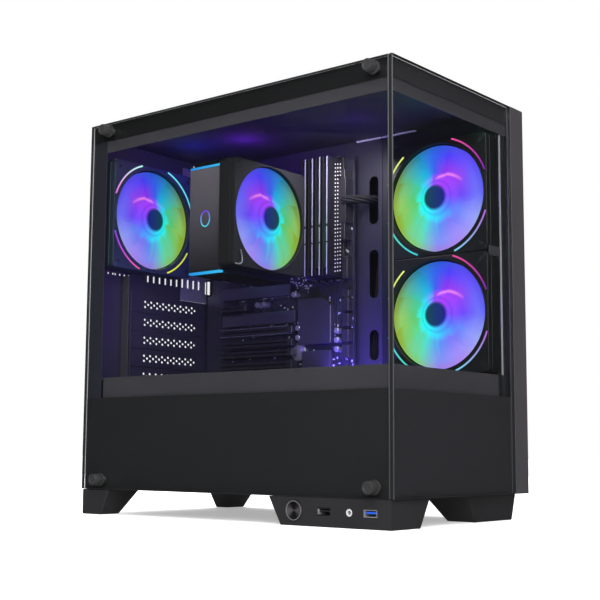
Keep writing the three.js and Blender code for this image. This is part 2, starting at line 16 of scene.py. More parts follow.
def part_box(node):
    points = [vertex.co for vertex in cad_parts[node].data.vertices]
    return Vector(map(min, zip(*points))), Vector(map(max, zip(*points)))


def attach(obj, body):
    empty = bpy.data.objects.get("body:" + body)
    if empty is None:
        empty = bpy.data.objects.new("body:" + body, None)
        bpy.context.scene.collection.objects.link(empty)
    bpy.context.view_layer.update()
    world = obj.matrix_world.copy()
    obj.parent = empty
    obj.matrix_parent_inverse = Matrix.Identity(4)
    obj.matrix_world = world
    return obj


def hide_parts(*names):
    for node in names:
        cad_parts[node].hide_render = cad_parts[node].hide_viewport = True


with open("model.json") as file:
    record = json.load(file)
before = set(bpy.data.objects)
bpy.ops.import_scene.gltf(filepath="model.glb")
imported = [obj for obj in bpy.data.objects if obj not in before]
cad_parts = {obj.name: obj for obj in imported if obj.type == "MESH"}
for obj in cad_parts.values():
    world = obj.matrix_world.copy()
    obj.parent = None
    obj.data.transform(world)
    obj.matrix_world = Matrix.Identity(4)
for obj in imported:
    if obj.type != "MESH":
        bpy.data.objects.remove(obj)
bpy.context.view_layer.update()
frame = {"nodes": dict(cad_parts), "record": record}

# %% [markdown]
# ## Where things are
# Sheet metal is easiest to think of from one corner of the case. The corner used here is the
# lower front left one, where the two glass panels meet: x runs along the front, y to the rear
# and z upwards, in millimetres. `place` turns such points into metres in the frame.

# %% The case corner and its units
MM = 0.001
CORNER = np.array([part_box("left_glass")[0].x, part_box("front_glass")[0].y,
                   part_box("left_glass")[0].z])


def place(points):
    """Case millimetres as metres in the frame: corner + points / 1000."""
    return CORNER + np.asarray(points, float) * MM


def case_box(node):
    """A CAD node's lowest and highest corners, in millimetres from the case corner."""
    low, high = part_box(node)
    return (np.array(low) - CORNER) / MM, (np.array(high) - CORNER) / MM


WIDTH, DEPTH, HEIGHT = (case_box("front_corner_trim")[1][0], case_box("left_glass")[1][1],
                        case_box("left_glass")[1][2])
FOOT = -case_box("io_plinth")[0][2]
print(f"case {WIDTH:.0f} x {DEPTH:.0f} x {HEIGHT:.0f} mm on {FOOT:.0f} mm feet")

# %% [markdown]
# ## Making a mesh
# Every piece below is worked out as arrays of points and faces, then handed to one function
# that merges doubled points, turns all faces outwards and says which body the piece moves with.

# %% From arrays to a piece
MERGE, SLIVER = 2e-6, 1e-7                    # metres: doubled points, edges without length
GENTLE = radians(30)                          # gentler edges than this are not eased


def add_piece(name, parts, finish, body="case", replaces=(), smooth=None,
              bevel=None, colours=None):
    """A mesh from (points, faces) parts in case millimetres. smooth is the angle in degrees above
    which an edge stays sharp; bevel is (width in millimetres, segments); colours are linear
    light, one for each point."""
    points, faces, start = [], [], 0
    for part_points, part_faces in parts:
        points.append(np.asarray(part_points, float).reshape(-1, 3))
        faces.extend([[start + k for k in face] for face in part_faces])
        start += len(points[-1])
    mesh = bpy.data.meshes.new(name)
    mesh.from_pydata(place(np.concatenate(points)).tolist(), [], faces)
    if colours is not None:
        layer = mesh.attributes.new("glow", "FLOAT_COLOR", "POINT")
        flat = np.ones((start, 4))
        flat[:, :3] = colours
        layer.data.foreach_set("color", flat.ravel())
    tidy = bmesh.new()
    tidy.from_mesh(mesh)
    bmesh.ops.remove_doubles(tidy, verts=tidy.verts, dist=MERGE)
    bmesh.ops.dissolve_degenerate(tidy, edges=tidy.edges, dist=SLIVER)
    bmesh.ops.recalc_face_normals(tidy, faces=tidy.faces)
    tidy.to_mesh(mesh)
    tidy.free()
    return dress(bpy.data.objects.new(name, mesh), finish, body, replaces, smooth, bevel)


def dress(piece, finish, body, replaces, smooth, bevel):
    """Gives a piece its finish, shading, bevel and body, and hides the CAD parts it replaces. A
    third number in bevel picks the finish of the eased edges."""
    bpy.context.scene.collection.objects.link(piece)
    for material in finish if isinstance(finish, (list, tuple)) else [finish]:
        piece.data.materials.append(material)
    if smooth:
        piece.data.shade_smooth()
        piece.data.set_sharp_from_angle(angle=radians(smooth))
    if bevel:
        rounding = piece.modifiers.new("edge", "BEVEL")
        rounding.width, rounding.segments = bevel[0] * MM, bevel[1]
        rounding.limit_method, rounding.angle_limit = "ANGLE", GENTLE
        if len(bevel) > 2:
            rounding.material = bevel[2]
    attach(piece, body)
    if replaces:
        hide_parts(*replaces)
    return piece


def body_of(node):
    """The name of the body that holds a CAD node."""
    return next(b for b, nodes in frame["record"]["behaviour"]["bodies"].items() if node in nodes)


def finished_copy(node, finish, bevel):
    """A CAD node's own shape as a piece: its triangles merged into flat faces, its edges eased."""
    mesh = frame["nodes"][node].data.copy()
    mesh.materials.clear()
    tidy = bmesh.new()
    tidy.from_mesh(mesh)
    bmesh.ops.remove_doubles(tidy, verts=tidy.verts, dist=MERGE)
    bmesh.ops.dissolve_limit(tidy, angle_limit=radians(1), verts=tidy.verts, edges=tidy.edges)
    tidy.to_mesh(mesh)
    tidy.free()
    piece = bpy.data.objects.new(f"{node}_finished", mesh)
    return dress(piece, finish, body_of(node), [node], None, bevel)


# %% [markdown]
# ## A few shapes that most pieces are made of
# Boxes, turned shapes and grids cover most hardware. Each function returns points and faces,
# so that several can go into one piece.

# %% Boxes, grids and turned shapes
CUBE_FACES = np.array([[0, 2, 3, 1], [4, 5, 7, 6], [0, 1, 5, 4], [2, 6, 7, 3], [0, 4, 6, 2],
                       [1, 3, 7, 5]])


def boxes(*spans):
    """Closed boxes, each from a span (x0, x1, y0, y1, z0, z1)."""
    spans = np.asarray(spans, float).reshape(-1, 3, 2)
    pick = np.array([[i >> 2 & 1, i >> 1 & 1, i & 1] for i in range(8)])
    points = np.stack([spans[:, k, pick[:, k]] for k in range(3)], -1)
    faces = CUBE_FACES[None] + 8 * np.arange(len(spans))[:, None, None]
    return points.reshape(-1, 3), faces.reshape(-1, 4).tolist()


def grid_faces(rows, columns, wrap_rows, wrap_columns):
    """Four-sided faces between neighbouring points of a rows x columns grid."""
    r = np.arange(rows if wrap_rows else rows - 1)[:, None]
    c = np.arange(columns if wrap_columns else columns - 1)[None]
    r1, c1 = (r + 1) % rows, (c + 1) % columns
    corners = [r * columns + c, r * columns + c1, r1 * columns + c1, r1 * columns + c]
    return np.stack(np.broadcast_arrays(*corners), -1).reshape(-1, 4).tolist()


def turned(profile, centre, axis, steps):
    """A profile of (radius, height) points carried once around an axis through centre. It starts
    and ends on the axis, or closes on itself when its ends are off it."""
    profile = np.asarray(profile, float)
    closed = profile[0, 0] > 0 or profile[-1, 0] > 0
    turn = np.linspace(0, 2 * pi, steps, endpoint=False)
    u = profile[:, 0] * np.cos(turn)[:, None]
    v = profile[:, 0] * np.sin(turn)[:, None]
    h = np.broadcast_to(profile[:, 1], u.shape)
    order = {"x": (h, u, v), "y": (v, h, u), "z": (u, v, h)}[axis]
    points = np.stack(order, -1).reshape(-1, 3) + np.asarray(centre, float)
    return points, grid_faces(steps, len(profile), True, closed)


def swept(path, radius, sides=8):
    """A round bar along a path of points: each ring stands square to the path, turned least."""
    path = np.asarray(path, float)
    ahead = np.gradient(path, axis=0)
    ahead /= np.linalg.norm(ahead, axis=1)[:, None]
    side = np.cross(ahead[0], [0.31, 0.17, 0.94])
    frames = []
    for direction in ahead:
        side = side - direction * side.dot(direction)
        side = side / np.linalg.norm(side)
        frames.append((side, np.cross(direction, side)))
    turn = np.linspace(0, 2 * pi, sides, endpoint=False)
    across = np.array(frames)
    rings = (path[:, None] + radius * (np.cos(turn)[None, :, None] * across[:, None, 0]
                                       + np.sin(turn)[None, :, None] * across[:, None, 1]))
    faces = grid_faces(len(path), sides, False, True)
    last = (len(path) - 1) * sides
    faces += [list(range(sides)), list(range(last, last + sides))]
    return rings.reshape(-1, 3), faces


def hoop(loop, outward, along, sides, wide, tall):
    """A closed bar whose section is an oval round each point of a loop:
    point + wide * cos * outward + tall * sin * along."""
    turn = np.linspace(0, 2 * pi, sides, endpoint=False)[None, :, None]
    rings = loop[:, None] + wide * np.cos(turn) * outward[:, None] + tall * np.sin(turn) * along
    return rings.reshape(-1, 3), grid_faces(len(loop), sides, True, True)


def smooth_path(points, steps):
    """A curve through points: Catmull-Rom, a cubic whose slope follows the neighbouring points."""
    p = np.asarray(points, float)
    p = np.vstack([2 * p[0] - p[1], p, 2 * p[-1] - p[-2]])
    t = np.linspace(0, len(p) - 3, steps)
    i = np.minimum(t.astype(int), len(p) - 4)
    t = (t - i)[:, None]
    a, b, c, d = p[i], p[i + 1], p[i + 2], p[i + 3]
    return 0.5 * (2 * b + (c - a) * t + (2 * a - 5 * b + 4 * c - d) * t ** 2
                  + (3 * b - a - 3 * c + d) * t ** 3)


# %% [markdown]
# ## Punched sheet
# Vents, slot covers and socket plates are all flat sheet with holes. A sheet is cut along a set
# of lines into cells; each cell is open, solid or has one round hole. Holes on every second
# cell, like the dark squares of a chess board, give the staggered rows of a real vent.

# %% Punched sheet
OPEN, SOLID, HOLE = 0, 1, 2


def punched(u, v, kind, thick, radius):
    """A sheet in its own plane (u, v), from w = 0 to thick. kind[i, j] is the cell between lines
    u[i], u[i + 1] and v[j], v[j + 1]. A hole has 8 corners at centre + radius * (cos, sin)."""
    nu, nv = len(u), len(v)
    grid = np.stack(np.meshgrid(u, v, indexing="ij"), -1).reshape(-1, 2)
    i, j = np.nonzero(kind)
    cell = np.stack([i * nv + j, (i + 1) * nv + j, (i + 1) * nv + j + 1, i * nv + j + 1], -1)
    is_hole = kind[i, j] == HOLE
    hi, hj = i[is_hole], j[is_hole]
    centre = np.stack([(u[hi] + u[hi + 1]) / 2, (v[hj] + v[hj + 1]) / 2], -1)
    turn = (np.arange(8) * 45 - 135) * pi / 180
    rim = centre[:, None] + np.stack([np.cos(turn), np.sin(turn)], -1) * np.asarray(radius)
    flat = np.concatenate([grid, rim.reshape(-1, 2)])
    layer = len(flat)
    points = np.concatenate([np.c_[flat, np.full(layer, w)] for w in (0.0, thick)])
    first = nu * nv + 8 * np.arange(len(hi))[:, None]
    corners = cell[is_hole]
    tris = []
    for k in range(4):
        a, b = corners[:, k], corners[:, (k + 1) % 4]
        h0, h1, h2 = (first[:, 0] + (2 * k + m) % 8 for m in range(3))
        tris += [np.stack([a, h1, h0], -1), np.stack([a, b, h1], -1), np.stack([b, h2, h1], -1)]
    tris = np.concatenate(tris) if len(hi) else np.zeros((0, 3), int)
    quads = cell[~is_hole]
    faces = tris.tolist() + (tris[:, ::-1] + layer).tolist()
    faces += quads.tolist() + (quads[:, ::-1] + layer).tolist()
    ring = first + np.arange(8)
    ahead = first + (np.arange(8) + 1) % 8
    walls = [np.stack([ring, ahead, ahead + layer, ring + layer], -1).reshape(-1, 4)]
    padded = np.pad(kind > 0, 1)
    here = padded[1:-1, 1:-1]
    for di, dj, (a, b) in ((-1, 0, (0, 3)), (1, 0, (1, 2)), (0, -1, (0, 1)), (0, 1, (3, 2))):
        beyond = padded[1 + di:padded.shape[0] - 1 + di, 1 + dj:padded.shape[1] - 1 + dj]
        edge = (here & ~beyond)[i, j]
        a, b = cell[edge, a], cell[edge, b]
        walls.append(np.stack([a, b, b + layer, a + layer], -1))
    return points, faces + np.concatenate(walls).tolist()


def turn_sheet(sheet, plane, origin):
    """Lays a sheet's (u, v, w) along the case's axes: plane "xz" has u on x, v on z and w on y."""
    points, faces = sheet
    names = plane + next(a for a in "xyz" if a not in plane)
    columns = [names.index(a) for a in "xyz"]
    return points[:, columns] + np.asarray(origin, float), faces


def lines(low, high, *spans):
    """Cut lines from low to high, with each span (start, end, count) divided evenly."""
    cuts = [np.linspace(a, b, n + 1) for a, b, n in spans]
    return np.unique(np.round(np.concatenate([[low, high], *cuts]), 4))


def mark(kind, u, v, span, value, staggered=False):
    """Sets the cells whose middle lies in span (u0, u1, v0, v1), or every second one of them."""
    cu, cv = (u[1:] + u[:-1]) / 2, (v[1:] + v[:-1]) / 2
    inside = ((cu > span[0]) & (cu < span[1]))[:, None] & ((cv > span[2]) & (cv < span[3]))[None]
    if staggered:
        i0, j0 = np.argmax(cu > span[0]), np.argmax(cv > span[2])
        inside &= (np.arange(len(cu))[:, None] - i0 + np.arange(len(cv))[None] - j0) % 2 == 0
    kind[inside] = value


def cut_sheet(plane, origin, low, high, thick, vents=(), openings=(), holes=(), radius=(1.4, 1.4)):
    """A sheet between two case corners, laid in its plane. A vent (u0, u1, v0, v1, across, up) has
    staggered holes on a grid of cells; openings and holes are spans (u0, u1, v0, v1)."""
    a, b = ("xyz".index(axis) for axis in plane)
    spans = [*vents, *[(*span, 1, 1) for span in (*openings, *holes)]]
    u = lines(low[a], high[a], *[(u0, u1, n) for u0, u1, _, _, n, _ in spans if n])
    v = lines(low[b], high[b], *[(v0, v1, n) for _, _, v0, v1, _, n in spans if n])
    kind = np.full((len(u) - 1, len(v) - 1), SOLID)
    for span in vents:
        mark(kind, u, v, span[:4], HOLE, True)
    for span in openings:
        mark(kind, u, v, span, OPEN)
    for span in holes:
        mark(kind, u, v, span, HOLE)
    return turn_sheet(punched(u, v, kind, thick, radius), plane, origin)


# %% [markdown]
# ## Finishes
# Colours are given as they look on a screen, so they are turned to linear light first. One small
# function adds a node with its settings and links; each finish is a short function on top.

# %% Colour and node helpers


def linear(hex_colour):
    """sRGB hex to linear light: c / 12.92 up to 0.04045, then ((c + 0.055) / 1.055) ** 2.4."""
    c = np.array([int(hex_colour[k:k + 2], 16) for k in (0, 2, 4)]) / 255
    return np.where(c <= 0.04045, c / 12.92, ((c + 0.055) / 1.055) ** 2.4)


def rgba(hex_colour):
    """The same with full alpha, as a colour socket wants it."""
    return (*linear(hex_colour), 1.0)


def node(tree, kind, inputs=None, **settings):
    """Adds a node, sets its settings, and sets or links its inputs."""
    made = tree.nodes.new(kind)
    for key, value in settings.items():
        setattr(made, key, value)
    for key, value in (inputs or {}).items():
        if isinstance(value, bpy.types.NodeSocket):
            tree.links.new(value, made.inputs[key])
        else:
            made.inputs[key].default_value = value
    return made


def new_material(name):
    """An empty material and its node tree."""
    material = bpy.data.materials.new(name)
    material.use_nodes = True
    material.node_tree.nodes.clear()
    return material, material.node_tree


def show(tree, shader):
    """Makes a shader the surface."""
    node(tree, "ShaderNodeOutputMaterial", {"Surface": shader})


def principled(tree, inputs):
    """Makes the general surface shader, with its sockets set, the surface."""
    show(tree, node(tree, "ShaderNodeBsdfPrincipled", inputs).outputs["BSDF"])


def blend(tree, share, first, second):
    """A colour that goes from first to second as share goes from 0 to 1."""
    tone = node(tree, "ShaderNodeMix", {"Factor": share, "A": rgba(first), "B": rgba(second)},
                data_type="RGBA")
    return tone.outputs["Result"]


def arithmetic(tree, operation, *values):
    """One step of arithmetic on numbers or sockets."""
    return node(tree, "ShaderNodeMath", dict(enumerate(values)), operation=operation).outputs[0]


def grained(name, colour, lighter, roughness, grain_mm, height_mm, **extra):
    """A finish with an even grain: noise of one grain size tints the colour, changes the
    roughness a little and gives the bump. extra sets the shader's own sockets."""
    material, tree = new_material(name)
    where = node(tree, "ShaderNodeTexCoord").outputs["Object"]
    grain = node(tree, "ShaderNodeTexNoise", {"Vector": where, "Scale": 1 / (grain_mm * MM),
                                              "Detail": 3.0, "Roughness": 0.6})
    cloud = node(tree, "ShaderNodeTexNoise", {"Vector": where, "Scale": 14.0, "Detail": 4.0})
    rough = node(tree, "ShaderNodeMapRange", {"Value": grain.outputs["Fac"],
                                              "To Min": roughness - 0.06,
                                              "To Max": roughness + 0.06})
    bump = node(tree, "ShaderNodeBump", {"Height": grain.outputs["Fac"], "Strength": 0.5,
                                         "Distance": height_mm * MM})
    principled(tree, {"Base Color": blend(tree, cloud.outputs["Fac"], colour, lighter),
                      "Roughness": rough.outputs["Result"], "Normal": bump.outputs["Normal"],
                      **extra})
    return material


# %% [markdown]
# ### Steel, plastic and board
# Powder coat is a melted plastic film: satin, with a fine orange peel of about a millimetre.
# Moulded ABS has the spark-eroded texture of its mould, a few tenths of a millimetre wide.

# %% Steel, plastic and board finishes
BLACK_STEEL = grained("powder_coated_steel_black", "1a1a1c", "232325", 0.42, 1.1, 0.03)
DARK_STEEL = grained("powder_coated_steel_inside", "1f1e26", "25242e", 0.48, 1.1, 0.03)
# Painted shade: the bracket's black powder coat is drawn darker than the rest of the steel
BRACKET_STEEL_PAINTED_SHADE = grained("powder_coated_steel_bracket_painted_shade", "0f0f14", "16161c", 0.5, 1.1, 0.03)
GRAY_STEEL = grained("powder_coated_steel_grey", "323033", "3b393c", 0.45, 1.1, 0.02)
TRIM_STEEL = grained("powder_coated_steel_trim", "353336", "3e3c3f", 0.45, 1.1, 0.02)
ABS_BLACK = grained("abs_black_textured", "201f21", "282729", 0.5, 0.5, 0.02)
ABS_SMOOTH = grained("abs_black_smooth", "1d1c1e", "242325", 0.34, 2.0, 0.004)
FAN_PLASTIC = grained("pbt_fan_frame", "17181b", "1f2124", 0.4, 0.8, 0.01)
RUBBER = grained("rubber_black", "121213", "1a1a1b", 0.75, 0.6, 0.02)
ALUMINIUM = grained("aluminium_anodised_grey", "5b5966", "6a6876", 0.34, 0.4, 0.006, Metallic=0.85)
FIN_METAL = grained("aluminium_fins_black", "26262a", "303036", 0.36, 0.5, 0.004, Metallic=0.7)
NICKEL = grained("nickel_plated_steel", "8f9093", "a2a3a6", 0.28, 0.3, 0.003, Metallic=0.7)
COPPER = grained("copper_heat_pipe", "9a5f45", "b07353", 0.25, 0.8, 0.003, Metallic=1.0)
GOLD = grained("gold_contacts", "c8a24c", "dcb75e", 0.28, 0.3, 0.002, Metallic=1.0)
BLUE_PLASTIC = grained("nylon_blue", "1450c4", "1c5cd6", 0.35, 1.0, 0.004)
PALE_PLASTIC = grained("nylon_pale_grey", "b4b4b6", "c2c2c4", 0.4, 1.0, 0.004)
CHIP_EPOXY = grained("chip_epoxy", "18181b", "202024", 0.5, 0.3, 0.003)
FILTER_WEAVE = grained("nylon_filter_weave", "151516", "202022", 0.8, 0.7, 0.05)
NYLON = grained("nylon_knob_grey", "29292a", "303031", 0.5, 0.5, 0.01)
SLEEVE = grained("braided_sleeve", "08080a", "0e0e10", 0.9, 0.9, 0.06)


def solder_mask():
    """Black solder mask over copper: straight traces a little lighter than the board, and pads."""
    material, tree = new_material("solder_mask_black")
    where = node(tree, "ShaderNodeTexCoord").outputs["Object"]
    flat = node(tree, "ShaderNodeMapping", {"Vector": where, "Scale": (0.0, 1.0, 1.0)})
    trace = node(tree, "ShaderNodeTexWave", {"Vector": flat.outputs["Vector"], "Scale": 90.0,
                                             "Distortion": 3.0, "Detail": 1.0, "Detail Scale": 0.6},
                 bands_direction="Y")
    cells = node(tree, "ShaderNodeTexVoronoi", {"Vector": flat.outputs["Vector"], "Scale": 160.0},
                 distance="CHEBYCHEV")
    pads = arithmetic(tree, "LESS_THAN", cells.outputs["Distance"], 0.16)
    band = arithmetic(tree, "GREATER_THAN", trace.outputs["Fac"], 0.75)
    raised = arithmetic(tree, "MAXIMUM", pads, band)
    bump = node(tree, "ShaderNodeBump", {"Height": raised, "Strength": 0.6, "Distance": 0.05 * MM})
    principled(tree, {"Base Color": blend(tree, raised, "1b1b22", "2f2e3b"), "Roughness": 0.32,
                      "Normal": bump.outputs["Normal"]})
    return material


SOLDER_MASK = solder_mask()

# %% [markdown]
# ### Glass
# Tempered glass is clear with a faint grey tint. Flat panes don't bend what is behind them, so
# light may go straight through: a see-through shader under a mirror. Schlick's rule gives the
# mirror's share, 0.04 + 0.96 * (1 - cos) ** 5, where cos is that of the angle to the surface.
# Its ground edges scatter light and show as fine grey lines. A black ceramic print behind the
# pane hides the steel. Its top copy is darker, as painted shade, and its front copy lighter, as
# painted light.

# %% Glass finishes


def tempered_glass():
    """A see-through shader under a mirror that takes Schlick's share."""
    material, tree = new_material("tempered_glass")
    clear = node(tree, "ShaderNodeBsdfTransparent", {"Color": rgba("fafbfc")})
    mirror = node(tree, "ShaderNodeBsdfGlossy", {"Color": rgba("ffffff"), "Roughness": 0.02})
    facing = node(tree, "ShaderNodeLayerWeight", {"Blend": 0.5}).outputs["Facing"]
    share = arithmetic(tree, "MULTIPLY_ADD", arithmetic(tree, "POWER", facing, 5.0), 0.96, 0.04)
    mixed = node(tree, "ShaderNodeMixShader", {0: share, 1: clear.outputs["BSDF"],
                                               2: mirror.outputs["BSDF"]})
    show(tree, mixed.outputs["Shader"])
    return material


GLASS = tempered_glass()
GLASS_EDGE = grained("glass_ground_edge", "17191b", "1e2023", 0.4, 0.6, 0.01)
# One black print in three tones: the top copy is painted shade, the front copy painted light
SIDE_PRINT_AND_PAINTED_SHADE = {"lower": grained("ceramic_print_side", "191919", "1b1b1b", 0.6, 1.5, 0.001),
              "upper": grained("ceramic_print_top_painted_shade", "0a0a0a", "0c0c0c", 0.6, 1.5, 0.001)}
FRONT_PRINT_PAINTED_LIGHT = grained("ceramic_print_front_painted_light", "242225", "262427", 0.6, 1.5, 0.001)

# %% [markdown]
# ### Lit plastic
# The blades and light guides are frosted plastic with coloured LEDs behind. Each point carries
# its own colour in an attribute named glow, so the light follows the shape and turns with it.

# %% Lit finishes


def lit(name, strength):
    """Dark plastic that gives off its glow colour times a strength."""
    material, tree = new_material(name)
    glow = node(tree, "ShaderNodeAttribute", attribute_name="glow")
    principled(tree, {"Base Color": rgba("101014"), "Roughness": 0.35, "Specular IOR Level": 0.0,
                      "Emission Color": glow.outputs["Color"], "Emission Strength": strength})
    material.cycles.emission_sampling = "NONE"
    return material


LIT_BLADES = lit("frosted_polycarbonate_lit", 1.2)
LIT_GUIDE = lit("light_guide_acrylic_lit", 1.15)

# %% [markdown]
# ## The case
# Flat steel parts keep their CAD shape with eased edges. The rear panel, roof and slot covers
# get their punched vents.

# %% Folded steel
for name, finish in {"base_pan": BLACK_STEEL, "motherboard_tray": DARK_STEEL,
                     "fan_bracket": BRACKET_STEEL_PAINTED_SHADE, "psu_shroud": GRAY_STEEL, "top_rail": GRAY_STEEL,
                     "front_corner_trim": TRIM_STEEL, "front_right_pillar": BLACK_STEEL,
                     "rear_left_pillar": DARK_STEEL, "right_panel": BLACK_STEEL}.items():
    finished_copy(name, finish, (0.4, 2))
for name in ("foot_rear_left", "foot_rear_right", "foot_front_right"):
    finished_copy(name, ABS_BLACK, (1.2, 3))
finished_copy("io_plinth", ABS_BLACK, (0.6, 2))

# The pale lips on the pillar and on the tray's top hem are painted highlights on black steel edges
LIP_PAINTED_HIGHLIGHT = grained("rolled_edge_painted_highlight", "98969a", "a6a4a8", 0.4, 0.5, 0.001)
add_piece("front_pillar_lip", [boxes((199.3, 200.1, 6.6, 7.6, 116.6, 380.0),
                                     (199.3, 200.1, 6.0, 6.55, 116.6, 380.0))], LIP_PAINTED_HIGHLIGHT)
add_piece("fan_joint_tab", [boxes((172.5, 192.5, 4.4, 4.9, 234.0, 243.5))], GRAY_STEEL,
          bevel=(0.15, 1))
add_piece("tray_top_hem", [boxes((191.4, 192.9, 148, 180, 378.6, 380.2),
                                 (191.4, 192.9, 102, 146, 378.6, 380.2))], LIP_PAINTED_HIGHLIGHT)

# %% Rear panel with its vents
SHEET = 1.2
GAP = 0.3                                     # between an opening and what fills it
VENT = 3.4                                    # cell of a vent, half the pitch of its rows
VENT_CELLS = 32                               # along each side of the fan's vent
FAN_X, FAN_Z, FAN_HALF = 75.0, 297.0, VENT_CELLS / 2 * VENT
SLOT_X = [89 + 9.2 * k for k in range(10)]    # narrow slots above the expansion slots
SLOT_LOW, SLOT_TOP, SLOT_HALF = 230.0, 240.0, 1.6
SHIELD_EDGE = 142.0                           # slots beyond it are in the socket plate


def opening_for(low, high):
    """The opening for a box in the rear panel, wider than it by the gap."""
    return low[0] - GAP, high[0] + GAP, low[2] - GAP, high[2] + GAP


def narrow_slots(positions):
    """The spans of the narrow slots at some positions."""
    return [(x - SLOT_HALF, x + SLOT_HALF, SLOT_LOW, SLOT_TOP) for x in positions]


SCREW_Z = (60.0, 340.0)                       # of the right panel's two thumb screws
slot_rows = [np.mean([case_box(f"slot_cover_{k}")[0][2], case_box(f"slot_cover_{k}")[1][2]])
             for k in range(1, 6)]
low, high = case_box("rear_panel")
openings = [opening_for(*case_box("psu_case")), opening_for(*case_box("io_shield")),
            (186.5, 192.0, 226.0, 242.0)]
openings += [(68.0, 180.0, z - 6.4, z + 6.4) for z in slot_rows]
openings += narrow_slots(x for x in SLOT_X if x < SHIELD_EDGE)
openings += [(225.7, 230.3, z - 2.3, z + 2.3) for z in SCREW_Z]
vents = [(FAN_X - FAN_HALF, FAN_X + FAN_HALF, FAN_Z - FAN_HALF, FAN_Z + FAN_HALF,
          VENT_CELLS, VENT_CELLS),
         (20.4, 61.2, 231.8, 235.2, 0, 1), (34.0, 139.4, 360.4, 363.8, 0, 1),
         (148.0, 178.6, 376.0, 379.4, 0, 1)]  # single rows on the fan vent's own columns
rear = cut_sheet("xz", (0, DEPTH - SHEET, 0), low, high, SHEET, vents, openings)
add_piece("rear_panel_punched", [rear], DARK_STEEL, replaces=["rear_panel"])

# %% Slot covers
for k, z in enumerate(slot_rows):
    low, high = case_box(f"slot_cover_{k + 1}")
    cover = cut_sheet("xz", (0, low[1], 0), low, high, high[1] - low[1],
                      [(82.0, 166.6, z - 4.35, z + 4.35, 18, 3)], radius=(1.9, 1.4))
    add_piece(f"slot_cover_{k + 1}_punched", [cover], DARK_STEEL,
              replaces=[f"slot_cover_{k + 1}"])

# %% [markdown]
# ## The roof and its dust filter
# The roof sheet is plain but for a punched strip at its front. A magnetic filter lies in the
# recess on top: a plastic frame with ribs that holds a fine weave.

# %% Roof and filter
low, high = case_box("top_panel")
roof = cut_sheet("xy", (0, 0, low[2]), low, high, SHEET, [(141.0, 199.0, 15.0, 40.0, 16, 7)],
                 radius=(1.3, 1.3))
rim_low = low[2] + SHEET + 0.02
rims = boxes((high[0] - SHEET, high[0], low[1] + 6, high[1], rim_low, high[2]),
             (low[0], high[0] - SHEET - 0.1, high[1] - SHEET, high[1], rim_low, high[2]))
add_piece("roof_punched", [roof, rims], DARK_STEEL, replaces=["top_panel"])

low, high = case_box("top_filter")
BAR, CLEAR = 7.0, 7.05                        # width of the frame, and where it is passed
ribs = [low[1] + (high[1] - low[1]) * k / 4 for k in (1, 2, 3)]
bars = [(low[0], high[0], low[1], low[1] + BAR), (low[0], high[0], high[1] - BAR, high[1]),
        (low[0], low[0] + BAR, low[1] + CLEAR, high[1] - CLEAR),
        (high[0] - BAR, high[0], low[1] + CLEAR, high[1] - CLEAR)]
bars += [(low[0] + CLEAR, high[0] - CLEAR, y - 1.5, y + 1.5) for y in ribs]
add_piece("top_filter_frame", [boxes(*[(*bar, low[2], high[2]) for bar in bars])], ABS_SMOOTH,
          "top_filter_panel", ["top_filter"], bevel=(0.5, 2))
add_piece("top_filter_weave", [boxes((low[0] + 6.5, high[0] - 6.5, low[1] + 6.5, high[1] - 6.5,
                                      low[2] + 0.8, low[2] + 1.3))],
          FILTER_WEAVE, "top_filter_panel")

# %% [markdown]
# ## The glass panels
# Each pane is a plate with its ground edge as a second finish, so that the edges catch light.
# The print sits just behind the pane, and the steel shows through the clear part above it.

# %% Panes and print
GLASS_ARRIS = grained("glass_polished_arris", "232427", "292a2d", 0.5, 1.0, 0.001)
PANE_EDGE = 0.7
PRINT_TOP, PRINT_ROOF = 95.0, 372.5
KNOB_Y, KNOB_Z = (20.0, 370.0), (10.0, 382.0)
PANE, FILM = 4.0, 0.15                        # thickness of a pane and of its print


def knob_holes(low, high):
    """The cells that hold a knob's hole, for the knobs between two heights."""
    return [(y - 5, y + 5, z - 5, z + 5) for y in KNOB_Y for z in KNOB_Z if low < z < high]


def pane(side, plane, across, holes):
    """A glass plate whose faces across its thickness are clear and whose edges are ground."""
    low, high = case_box(f"{side}_glass")
    origin = np.where(np.arange(3) == across, low, 0.0)
    plate = cut_sheet(plane, origin, low, high, PANE, holes=holes, radius=(3.4, 3.4))
    piece = add_piece(f"{side}_glass_pane", [plate], [GLASS, GLASS_EDGE, GLASS_ARRIS],
                      f"{side}_glass_panel", [f"{side}_glass"],
                      bevel=(PANE_EDGE, 1, 2))
    for face in piece.data.polygons:
        face.material_index = 0 if abs(face.normal[across]) > 0.9 else 1


pane("left", "yz", 0, knob_holes(0, HEIGHT))
pane("front", "xz", 1, [])

for part, z0, z1 in (("lower", 1.0, PRINT_TOP), ("upper", PRINT_ROOF, 391.0)):
    film = cut_sheet("yz", (PANE + 0.05, 0, 0), (0, 5.0, z0), (0, 399.0, z1), FILM,
                     holes=knob_holes(z0, z1), radius=(3.6, 3.6))
    add_piece(f"left_glass_print_{part}", [film], SIDE_PRINT_AND_PAINTED_SHADE[part], "left_glass_panel")
    film = boxes((4.6, 210.4, PANE + 0.05, PANE + 0.2, z0, z1))
    add_piece(f"front_glass_print_{part}", [film], FRONT_PRINT_PAINTED_LIGHT, "front_glass_panel")

# %% Knurled knobs and thumb screws


def knurled(profile, centre, axis, teeth, depth):
    """A turned shape whose points marked 1 in a third column are fluted:
    radius * (1 - depth * (1 + cos(teeth * angle)) / 2)."""
    profile, steps = np.asarray(profile, float), 4 * teeth
    points, faces = turned(profile[:, :2], (0, 0, 0), axis, steps)
    turn = np.linspace(0, 2 * pi, steps, endpoint=False)[:, None]
    cut = 1 - profile[:, 2] * depth * (1 + np.cos(teeth * turn)) / 2
    points[:, [k for k in range(3) if "xyz"[k] != axis]] *= cut.reshape(-1, 1)
    return points + np.asarray(centre, float), faces


